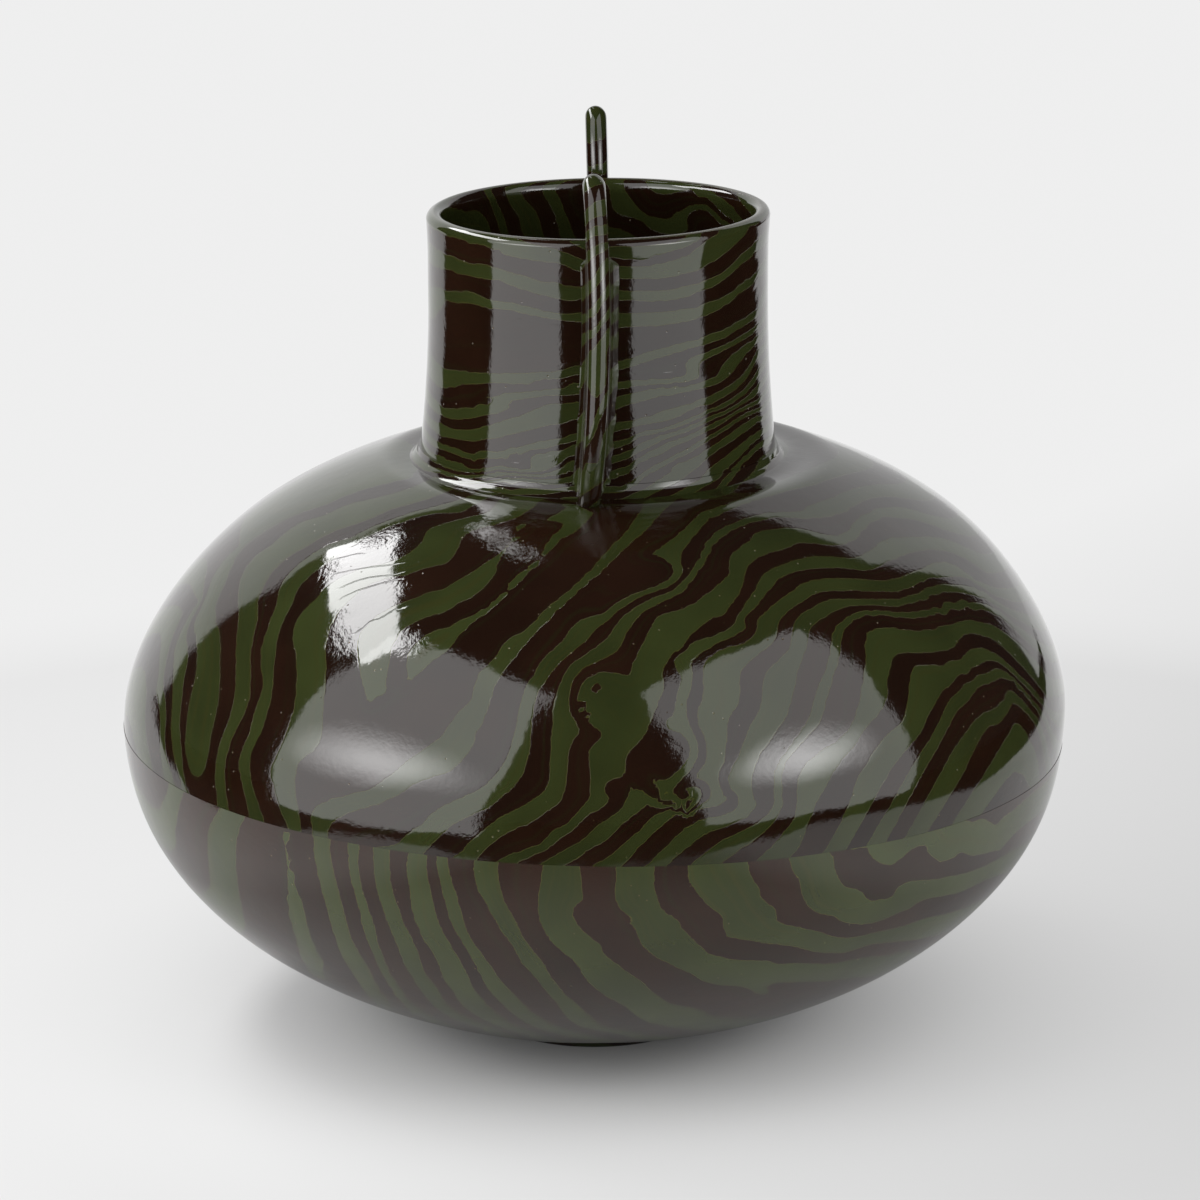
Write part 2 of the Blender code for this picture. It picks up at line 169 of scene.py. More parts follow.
# How finely the pieces are made.
ROUND_STEPS = 560
CROWN_RINGS = 112
BOWL_RINGS = 112
INSIDE_RINGS = 24
SEAM_RINGS = 4
NECK_STEPS_ROUND = 416
NECK_RINGS = 70
LIP_RINGS = 12
ROOT_RINGS = 8
FIN_COLUMNS = 34
FIN_ROWS = 150
FIN_MERGE_DISTANCE = 2e-5
HIDDEN_STEPS_ROUND = 240
SEAM_COIL_STEPS = 16
FOOT_ROUNDING_STEPS = 6
FOOT_TOP_STEPS = 8
OUTLINE_STEPS = 90
HALVINGS = 40
DOUBLINGS = 4
MERGE_DISTANCE = 1e-6
CREASE_ANGLE = math.radians(50)

# Colours of the clays, and how the glaze starts out.
BROWN_CLAY = (0.0100, 0.0040, 0.0020)
GREEN_CLAY = (0.0185, 0.0235, 0.0064)
EDGE_LINE = (0.040, 0.038, 0.009)
EDGE_WIDTH = 0.26
GLAZE_ROUGHNESS = 0.045

# How the pieces' clays differ from the dome's.
LAYER_BULGE = 0.0028
BOWL_CLAY = {"greener": 1.55, "browner": 1.75}
NECK_CLAY = {"ragged": 0.7, "bulging": 0.0045}
FIN_CLAY = {"ragged": 0.8}
HIDDEN_CLAY = {"greener": 0.8, "browner": 0.8}

# Noise in the clays: scale in lumps to the metre, detail and roughness.
TEETH_NOISE = (1100.0, 2.0, 0.6)
TEARS_NOISE = (260.0, 2.0, 0.55)
PATCH_NOISE = (28.0, 2.0, 0.5)
SPECK_NOISE = (900.0, 3.0, 0.7)
PIT_AREA_NOISE = (60.0, 1.0, 0.5)
GRAIN_NOISE = (620.0, 2.0, 0.6)
DUST_NOISE = (2100.0, 1.0, 0.5)
CRINKLE_NOISE = (520.0, 3.0, 0.6)
RIPPLE_NOISE = (130.0, 2.0, 0.5)
STREAK_SCALE = 5.0
STREAK_DETAIL = 3.0
PIT_SCALE = 230.0

# How far the layers' edges wander, in millimetres: in small teeth and in longer tears.
TEETH_REACH = 0.75
TEARS_REACH = 1.3

# Colour in the clays: the ranges of noise over which a change comes in, some with how much of it
# shows at each end, and how light each change is as a share of the colour that it takes.
PATCH_RANGE = (0.3, 0.7)
GREEN_PATCHES = (0.82, 1.2)
BROWN_PATCHES = (1.2, 0.8)
GREEN_STREAKS = (0.45, 0.72, 0.0, 0.45)
GREEN_STREAK_LEVEL = 0.62
BROWN_STREAKS = (0.5, 0.75, 0.0, 0.3)
BROWN_STREAK_LEVEL = 0.5
EDGE_CORE = 0.3
LINE_ON_BROWN = 0.05
LINE_ADDED_ON_GREEN = 0.75
SPECKS = (0.62, 0.8, 0.0, 0.35)
SPECK_LEVEL = 0.5
# Painted shade deep inside the neck, where little light reaches: its colour and its greatest share.
PAINTED_SHADE_COLOUR = (0.002, 0.0014, 0.0006)
PAINTED_SHADE_SHARE = 0.42
PIT_COLOUR = (0.13, 0.10, 0.05)
PIT_SHARE = 0.5
PIT_RIM = (0.03, 0.09)
PIT_AREAS = (0.5, 0.56)

# Relief of the glaze, in millimetres.
GROOVE_WIDTH = 0.55
GROOVE_DEPTH = 0.007
WIDEST_BULGE = 14.0
GRAIN_ON_BROWN = 0.026
GRAIN_ADDED_ON_GREEN = -0.022
DUST_ON_BROWN = 0.0065
DUST_ADDED_ON_GREEN = -0.006
CRINKLE_DEPTH = 0.3
RIPPLE_DEPTH = 0.055
SPECK_DEPTH = 0.004
PIT_DEPTH = 0.06
CRACK_SIDES = (0.08, 0.36)
CRACK_WANDER = 0.12
CRACK_DEPTH = 0.26

# Gloss of the glaze.
GLAZE_IOR = 1.6
ROUGHNESS_RANGE = (0.3, 0.8)
ROUGHNESS_ADDED = 0.03
MATT_ROUGHNESS = 0.3

# The layer field.
KERNEL_POWER = 1.5
KERNEL_SCALE = 0.1
LINE_STEP_PIXELS = 11.0
FAR_THINNING = 3
NEAREST_LINE_POINTS = 0.0006
LEAST_STEEPNESS = 1.0
FIELD_SMOOTHING = 1e-5
FIELD_CHUNK = 4000
SPIRAL_LAYER_HEIGHT = 0.004
SPIRAL_STEEPNESS = 3
REAR_FIN_LAYERS_ON = 2

# The far sides' layers: how far they are turned, how far back they start, and how many layers
# they are on from the near side's.
DOME_FAR_SIDE = (math.radians(14), 0.03, 0.6)
BOWL_FAR_SIDE = (math.radians(-10), 0.03, 0.6)
NECK_FAR_SIDE = (math.radians(9), 0.015, 0.4)

# Fine cracks in the glaze where the hard light falls on the dome, as numbered lines of
# photograph pixels.
CRACK_LINES = """
0: 331,560 343,557 356,554
1: 352,570 364,568 376,566.5 390,565
2: 343,587 356,581 372,577 395,575
3: 343,597 356,591 372,586 396,579
4: 352,635 364,626 378,618.5 400,609
5: 345,662 368,655 390,645 410,635
"""
# Spots on the dome where the glaze is uneven, dull or cracked: photograph pixel, radius, amount.
CRINKLE_SPOTS = (
    ((478, 527), 0.007, 0.5), ((498, 541), 0.009, 1.0), ((522, 553), 0.008, 0.9),
    ((333, 568), 0.009, 0.7), ((372, 543), 0.008, 0.7), ((404, 588), 0.006, 0.5),
    ((338, 640), 0.011, 0.8), ((415, 645), 0.010, 0.8), ((345, 612), 0.006, 0.5),
    ((600, 812), 0.006, 0.8), ((632, 815), 0.006, 0.8), ((618, 824), 0.007, 0.8),
    ((648, 818), 0.006, 0.6),
)
MATT_SPOTS = (((583, 518), 0.010, 0.9), ((590, 538), 0.012, 0.9))
CRACKED_SPOTS = (((346, 562), 0.008, 1.5), ((370, 580), 0.014, 1.5), ((378, 620), 0.012, 1.5))
DOME_SPOTS = {"crinkle": CRINKLE_SPOTS, "matt": MATT_SPOTS, "cracked": CRACKED_SPOTS}

# Layer lines, drawn over the photograph in its pixels. Each line runs where two layers of
# clay meet, and the number before its pixels counts the layers: odd to even is brown to green.

# On the dome.
DOME_LINES = """
1: 163,772 161,755 160,740 160,725 160,710 158,700 157,685 159,672
2: 172,774 166,755 165,740 166,720 166,705 164,693 163,680 165,668
3: 181,782 175,762 172,742 171,725 172,705 173,680 174,655 179,637 188,618 198,602
4: 186,787 183,770 182,750 180,725 182,700 184,680 188,660 188,645 187,632 192,618 200,604
5: 197,776 189,766 185,750 187,720 190,700 194,684 197,665 196,640 194,625 200,610 208,590 216,572
    232,552 252,540 272,527
5: 197,776 204,770 208,755 212,730 217,710 219,690 220,660 220,640 216,625 215,608 219,596 226,580
    234,560 250,542 270,528 300,513 322,506 350,494 380,485 410,478
5.6: 198,762 198,745 200,720 204,700 208,670 208,640 206,615 213,592 226,566
4: 218,805 216,790 215,772 218,750 223,735 231,712 235,690 236,670 236,645 239,615 238,598 241,578
    248,565 258,554 270,546 282,536 300,523 322,516 350,504 380,497 410,488 432,478
3: 228,807 226,792 225,772 228,752 233,736 239,725 246,710 250,697 251,675 251,652 254,635 258,618
    258,603 262,590 270,575 278,566 290,556 302,549 330,533 350,526 370,519 390,510 410,504 430,498
    446,492
2: 250,817 246,800 242,782 239,762 242,750 250,732 252,720 258,702 263,686 261,665 261,650 268,627
    277,602 279,590 288,575 304,560 330,544 350,538 370,528 390,520 410,513 430,508 446,504 470,496
1: 263,818 257,800 251,782 250,762 252,750 262,730 265,720 270,702 272,686 273,675 276,650 281,627
    288,612 294,600 297,590 311,575 332,560 360,541 385,529 405,521 430,514 462,512 474,505 492,496
0: 288,827 282,815 277,798 273,784 271,771 275,759 281,746 287,732 292,716 296,695 297,675 296,655
    293,640 295,625 303,611 315,600 323,590 340,578 365,568 390,562 402,557 415,549 424,539 432,528
    446,523 464,518 488,512 500,500
-1: 301,829 299,812 296,798 295,780 298,764 310,753 319,744 322,728 324,700 326,672 326,650 329,632
    336,617 350,600 370,584 392,577 406,575 425,568 446,563 454,556 460,544 466,534 478,529 500,523
    520,516 532,508 542,500
-1.5: 345,770 345,730 346,690 342,660 348,635 366,610 396,592 425,585 450,575 466,560 480,548
    500,540 530,525 550,510
-1.5: 308,806 318,780 335,770 360,772 380,752 400,730 425,710 450,690
-2: 368,703 364,688 360,668 357,650 360,635 372,620 392,607 410,600 430,592 442,590 460,579 476,570
    490,560 500,553 512,537 520,530 535,520 550,510 561,505
-2: 368,703 377,697 387,689 388,674 391,655 396,640 402,630 420,620 450,610 460,602 472,598 484,588
    492,578 500,560 506,553 516,540 532,528 546,520 560,511 568,508
-2.5: 374,672 374,650 384,625 410,612 440,600 470,586 490,570
-2: 406,688 407,670 408,655 414,645 426,635 440,629 452,627 460,620 480,610 500,594 508,584 520,572
    530,564 540,554 550,536 570,524 580,517
-2: 406,688 412,680 420,672 434,660 448,650 460,634 476,620 488,612 500,602 510,590 524,578 534,562
    550,550 560,539 576,532 588,520 594,514
-2.5: 414,665 430,645 455,628
-1.5: 398,680 399,655 408,635 440,618 470,606 500,582 512,562 530,545 545,528
-1.6: 420,690 450,668 480,640 510,612 540,585 570,562 596,535 606,515
-2: 312,829 311,817 315,808 330,800 350,795 370,789 388,777 404,764 425,748 440,738 450,724 460,710
    471,700 474,688 478,676 488,665 497,655 503,645 512,637 524,632 535,622 546,610 558,600 571,590
    582,580 592,570 600,560 609,550 619,540 628,530 636,518 643,508 650,499
-3: 328,832 333,822 348,813 370,806 390,799 407,789 423,780 448,772 462,760 472,747 477,732 484,718
    489,704 493,690 499,678 511,662 522,649 530,638 545,623 556,611 568,600 578,590 590,580 602,570
    611,561 622,550 634,540 645,531 654,520 664,510 677,499
-4: 395,845 410,832 423,823 430,814 442,807 460,798 478,790 492,779 501,768 508,754 513,738 517,722
    520,706 525,690 532,678 541,662 551,652 564,639 574,626 586,618 602,614 620,601 640,592 656,586
    668,580 673,573 671,565 664,559 651,555 660,548 674,538 684,530 696,518 710,510 728,504 742,499
    758,492
-5: 426,852 435,841 445,831 460,820 478,813 492,806 502,797 514,786 522,775 527,760 530,742 532,722
    534,706 539,690 547,679 557,667 568,655 577,648 588,639 597,627 608,620 622,608 640,597 660,590
    673,584 681,576 681,564 681,554 687,545 700,528 710,518 724,512 742,504 765,497 790,490
-6: 462,852 472,840 484,830 496,820 510,812 524,805 534,799 543,793 549,780 550,765 551,745 552,725
    553,706 557,692 562,678 568,668 576,660 587,654 597,646 608,638 614,628 621,618 634,608 648,600
    662,595 676,588 685,579 693,568 701,558 705,547 712,538 722,529 734,524 750,517 775,513 800,512
-7: 480,856 490,845 504,835 518,827 532,822 546,812 556,806 563,796 566,783 567,765 570,750 575,738
    580,729 575,719 570,706 570,694 573,682 580,672 590,665 600,660 612,655 620,647 624,638 632,625
    643,613 660,603 678,594 689,583 698,570 706,558 711,546 720,538 732,530 750,523 775,517 800,518
    825,517 845,512
-8: 500,859 520,851 540,844 552,831 566,824 575,815 585,805 591,793 591,778 589,762 590,750 596,742
    602,735 594,727 584,719 579,708 578,696 582,683 592,676 606,672 620,674 629,676 633,664 638,652
    645,640 651,627 657,617 670,612 684,609 698,601 710,592 722,582 729,574 730,564 732,554 740,548
    750,541 758,532 776,529 790,528 806,530 822,534 838,536 850,530 858,520 870,513 885,508 905,508
    930,515
-9: 520,861 542,852 556,842 568,833 580,822 590,814 602,808 610,799 604,787 612,780 624,776 626,762
    628,752 638,744 646,734 650,722 655,712 659,700 664,686 663,676 664,668 668,661 672,655.5
    680,650 685,645 688,639 691,635 697,630 702,625 714,617 726,613 732,604 738,596 742,586 745,574
    749,565 757,558 770,553 786,549 800,543 820,544 838,545 850,541 860,532 870,522 882,517 900,518
    920,521 945,530
-9.5: 610,808 618,800 612,790 640,770 650,750 662,722 672,700 672,682
-10: 560,852 580,842 590,832 600,824 618,812 628,796 632,784 640,790 650,797 660,804 668,806
    676,808 686,810 694,800 690,790 686,800 676,803 668,801 660,793 651,779 660,780 668,780 675,774
    682,767 690,756 690,744 684,736 674,731 664,722 672,717 675,706 676,694 680,686 682,677 677,670
    674.5,662 676,657 682,652.5 688,647 691,643 700,640 714,636 728,630 736,620 741,611 745,603
    752,594 760,580 770,570 784,564 800,559 820,556 836,557 850,558 862,555 872,550 884,541 900,538
    920,537 945,539 970,549
-11: 590,849 604,842 615,832 630,818 650,804 664,796 676,786 686,776 694,764 698,752 696,738
    690,724 686,710 689,694 692,682 692,668 698,657 708,649 720,642 738,634 746,628 744,618 750,612
    757,606 765,596 771,588 779,579 791,573 810,569 830,568 850,569 866,571 878,567 889,561 903,555
    920,551 940,550 965,558 985,572
-12: 612,854 626,842 640,830 660,812 680,806 686,796 690,784 698,773 705,762 706,749 703,737
    698,724 698,710 702,698 703,682 703,668 708,658 718,651 732,646 746,642 754,634 757,620 766,612
    776,602 784,597 794,590 806,582 820,579 840,578 860,579 878,580 892,579 906,575 920,569 932,563
    944,562 958,567 975,580
-13: 628,860 640,846 660,828 680,814 696,810 712,807 724,803 726,798 721,788 719,776 724,764
    726,750 728,732 730,718 738,706 741,692 740,676 746,665 758,655 770,646 777,636 779,624 785,614
    795,606 806,600 818,593 840,591 865,591 885,592 897,592 910,588 924,581 940,578 958,577 972,580
    982,587 992,594
-14: 650,862 664,848 680,833 696,822 712,817 728,813 738,806 738,799 731,789 728,778 733,766
    740,752 745,738 752,722 760,708 762,692 763,678 770,668 780,658 789,649 792,636 794,624 802,613
    814,606 830,600 850,599 870,599 888,599 904,597 918,594 932,587 944,584 960,585 975,588 986,593
    998,602
-15: 668,864 684,850 700,838 715,830 732,824 748,816 756,806 752,796 752,782 755,768 762,752
    772,738 784,720 791,702 796,682 800,664 806,648 808,634 814,624 824,618 832,612 845,607 865,605
    890,606 905,604 918,600 930,595 945,592 962,593 978,597 990,602 1004,611
-16: 690,866 706,852 722,840 740,832 758,822 770,812 775,800 775,784 776,768 786,752 798,736
    808,720 813,704 818,688 826,670 830,654 832,640 835,629 842,622 850,616 862,612 880,611 900,613
    920,612 940,609 955,604 968,602 984,604 1000,611 1012,622
-17: 720,866 738,851 755,840 770,826 780,812 782,796 781,780 786,762 800,744 814,730 822,716
    826,700 830,688 835,670 839,654 841,640 844,629 853,620 865,615 880,614 900,617 920,617 938,612
    952,608 966,606 982,609 1000,617 1014,629
-18: 750,865 768,850 784,832 794,818 797,800 798,784 803,768 820,752 838,740 850,728 856,712
    861,692 864,674 866,656 867,640 873,630 886,628 900,630 915,631 935,629 950,625 962,621 978,622
    996,627 1012,638 1028,652 1042,668
-19: 786,862 800,845 809,820 818,800 828,783 840,762 854,746 866,728 880,712 887,698 887,680
    891,666 895,655 910,653 930,653 948,650 957,644 962,636 976,634 990,638 1004,648 1020,664
    1034,680 1048,697
-20: 822,856 836,832 848,806 856,782 866,765 876,748 890,732 902,722 907,705 909,688 911,673
    917,665 935,665 950,661 962,658 968,651 980,648 992,652 1006,662 1020,676 1034,690 1046,706
-21: 846,850 862,822 876,796 890,772 906,750 920,734 928,717 934,706 939,696 948,688 954,680
    968,674 978,666 990,661 1002,665 1014,675 1028,689 1044,706
-22: 866,846 884,816 900,788 916,760 932,736 940,718 946,706 952,697 960,690 965,683 975,677
    986,674 996,668 1006,672 1018,684 1032,700 1045,714
-23: 886,842 902,812 918,782 934,754 948,728 958,710 969,700 976,690 984,684 992,682 1002,678
    1014,680 1024,692 1036,708 1044,722
-24: 906,836 924,804 940,774 956,746 968,730 978,718 990,712 998,706 1004,700 1007,691 1014,692
    1026,706 1038,720
-25: 930,828 950,796 966,768 978,742 990,726 1004,718 1012,704 1022,708 1034,722 1040,736
-26: 960,812 978,784 994,758 1006,738 1014,724 1022,728 1030,742
0.5: 152,700 152,725 155,750
-8: 596,683.5 600,686 600,690 596,692.5 592,690 592,686 596,683.5
-7.4: 594.5,688 597.5,688
-8.35: 597,679.5 604,684 604,693 596,697 588,693 588,684
-8: 580.5,702 582,709 584,716 587,718 588,712 586,705 582,701 580.5,702
-7.5: 582.5,704 586,715
-8.22: 578.8,700 580,709 582.5,718
-8.5: 652,662 664,642 676,628 700,612
-9.7: 640,786 652,794 662,800 672,805 684,806
"""

# On the bowl.
BOWL_LINES = """
1: 170,783 166,795 160,808
2: 184,792 180,803 177,816 175,832 176,842
3: 220,809 214,818 208,832 207.6,840 208.4,860 210,876 211,884
4: 244,820 239,830 236.6,842 236,860 237,880 239.4,896 242,910 244,918
5: 284.8,832 284.4,840 286.8,856 288.4,868 289,880 289.3,892 290,908 293,924 297,938 300,950
    306,964 310,972
5: 288,832 288.4,840 290.2,856 291.8,868 293.4,882 297,892 301.6,900 303.6,910 306,924 310,938
    316,952 322,966 327,976
4: 314,838 313.6,846 314.4,856 317,868 320,882 324,898 327,908 330,920 335,936 340,950 348,966
    356,978 363,988 370,998 376,1004
3: 331,840 330.6,850 332,860 334,874 338,888 341,900 343.6,910 346,920 350,934 355,946 362,958
    368,968 374,980 380,992 388,1002 394,1010
2: 348,844 348,854 349,866 351,878 354,890 357,900 360,912 362,924 365,934 370,946 375,956 380,968
    387,980 394,990 401,1000 406,1006
1: 359,846 357.6,856 358,866 359.6,878 362,890 365,900 368,910 372,918 374,924 376,934 377,940
    380,950 384,962 389,974 397,986 404,996 412,1004 418,1009
0: 373,847 373,856 374,866 375,876 377,888 380,900 383,908 386,918 390,928 394,938 398,948 402,958
    407,968 414,978 421,990 428,999 437,1008 450,1017 466,1024 480,1028
-1: 391.6,848 390,858 389.6,866 390.4,878 393,892 396,902 400,911 403,920 408,931 413,941 418,952
    421,963 425,973 431,981 438,990 444,1001 454,1010 466,1017 480,1023 494,1028
-2: 408,854 406,867 407.5,879 410,893 410.5,904 414,919 419,931 424,940 430,949 436,959 440,969
    443,978 450,988 458,1000 468,1010 480,1018 494,1025 508,1030
-3: 428,856 427,867 428.5,879 431.5,893 434,903 437,916 441,926 448,940 454,950 460,960 465,970
    470,980 476,991 483,1000 493,1010 504,1018 516,1026 528,1030
-4: 437,855 436.6,866 439,878 442,888 444.4,900 447,910 450,920 455,930 461,940 467,950 473,960
    478,970 483,980 489,990 498,1000 508,1010 518,1018 528,1024 540,1029
-5: 447,856 448,866 450,876 453.6,888 458,900 460.4,910 463,920 467,930 471.6,940 479,950 486,960
    493,970 500,980 509,990 520,1001 530,1011 544,1020 558,1027 574,1032 592,1036
-6: 474.4,860 474,870 475,878 477,888 481,896 486,902 491,912 496,920 501,930 509,940 516,950
    520,960 528,969 538,980 546,990 556,1001 562,1010 570,1020 580,1026 592,1029 608,1032 624,1035
-7: 500,861 497.6,866 498,876 500,888 504,900 509,910 515,920 520,930 525,940 532,950 541,960
    547,970 553,980 560,988 566,996 574,1002 582,1010 592,1018 600,1025 612,1029 630,1032 648,1035
-8: 548,863 543,868 541,876 540,888 538.6,900 538.4,910 540,920 544,930 550,940 558,948 566,954
    575,962 580,970 587,980 596,988 606,996 618,1002 626,1006 634,1014 642,1019 657,1024 677,1028
    700,1030 717,1030 740,1028
-9: 580,867 581,880 582.4,890 583.6,899 580,902 574,908 572.4,913 575,920 581,929 592,938 600,944
    603,952 612,960 624,969 636,978 645,984 650,990 660,998 668,1003 680,1006 700,1010 713,1017
    727,1018 740,1018 760,1018 780,1017 800,1013 813,1010
-10: 615.6,868 616,880 615.2,890 616,900 620,908 626,913 633,918 627,922 632,925 636,929 637,936
    640,941 643,946 648,951 656,957 664,961 675,967 690,973 703,981 720,985 737,986 747,988 753,993
    765,995 770,990 773,983 797,982 827,981 853,978 873,976 887,973
-11: 655,868 654,883 657,898 663,910 670,915 678,921 682,928 689,935 697,943 710,954 723,957
    740,960 772,961 775,964 797,963 827,964 847,961 870,957 890,955 907,950
-12: 688,869 689,880 695,889 700,897 710,907 722,917 723,928 728,937 740,939 757,942 780,945
    797,947 813,952 827,953 843,953 860,948 873,944 893,942 917,940 933,937
-13: 748,863 750,873 755,882 760,890 761,897 768,903 777,910 777,920 787,925 800,927 820,932
    837,937 853,937 873,933 893,929 907,925 927,918 940,915
-14: 790,862 792,870 800,883 803,897 807,905 817,913 833,916 843,922 860,924 877,922 893,915
    910,908 923,900 937,897 947,895 957,893
-15: 833,857 835,867 840,880 847,887 857,889 863,893 870,900 880,900 892,897 898,887 907,882
    920,880 933,880 947,877 967,873 980,868 993,862 1000,858
-16: 848,850 867,847 870,855 880,863 890,865 897,862 907,853 917,847 927,845 928,852 940,862
    953,858 960,852 973,856 987,853 1000,850 1010,838
-17: 973,822 983,818 997,825 1003,817
5.2: 286.4,834 286.4,840 288.5,856 290,868 291.2,880 293.2,890
5.3: 296,905 300,922 305,941 312,958
4.3: 252,826 250,845 250,880 254,912 262,932
4.62: 268,830 269,850 270,880 272,912 279,938
4.5: 300,836 301,850 304,868 308,884 313,902 318,920 324,938 333,958
"""

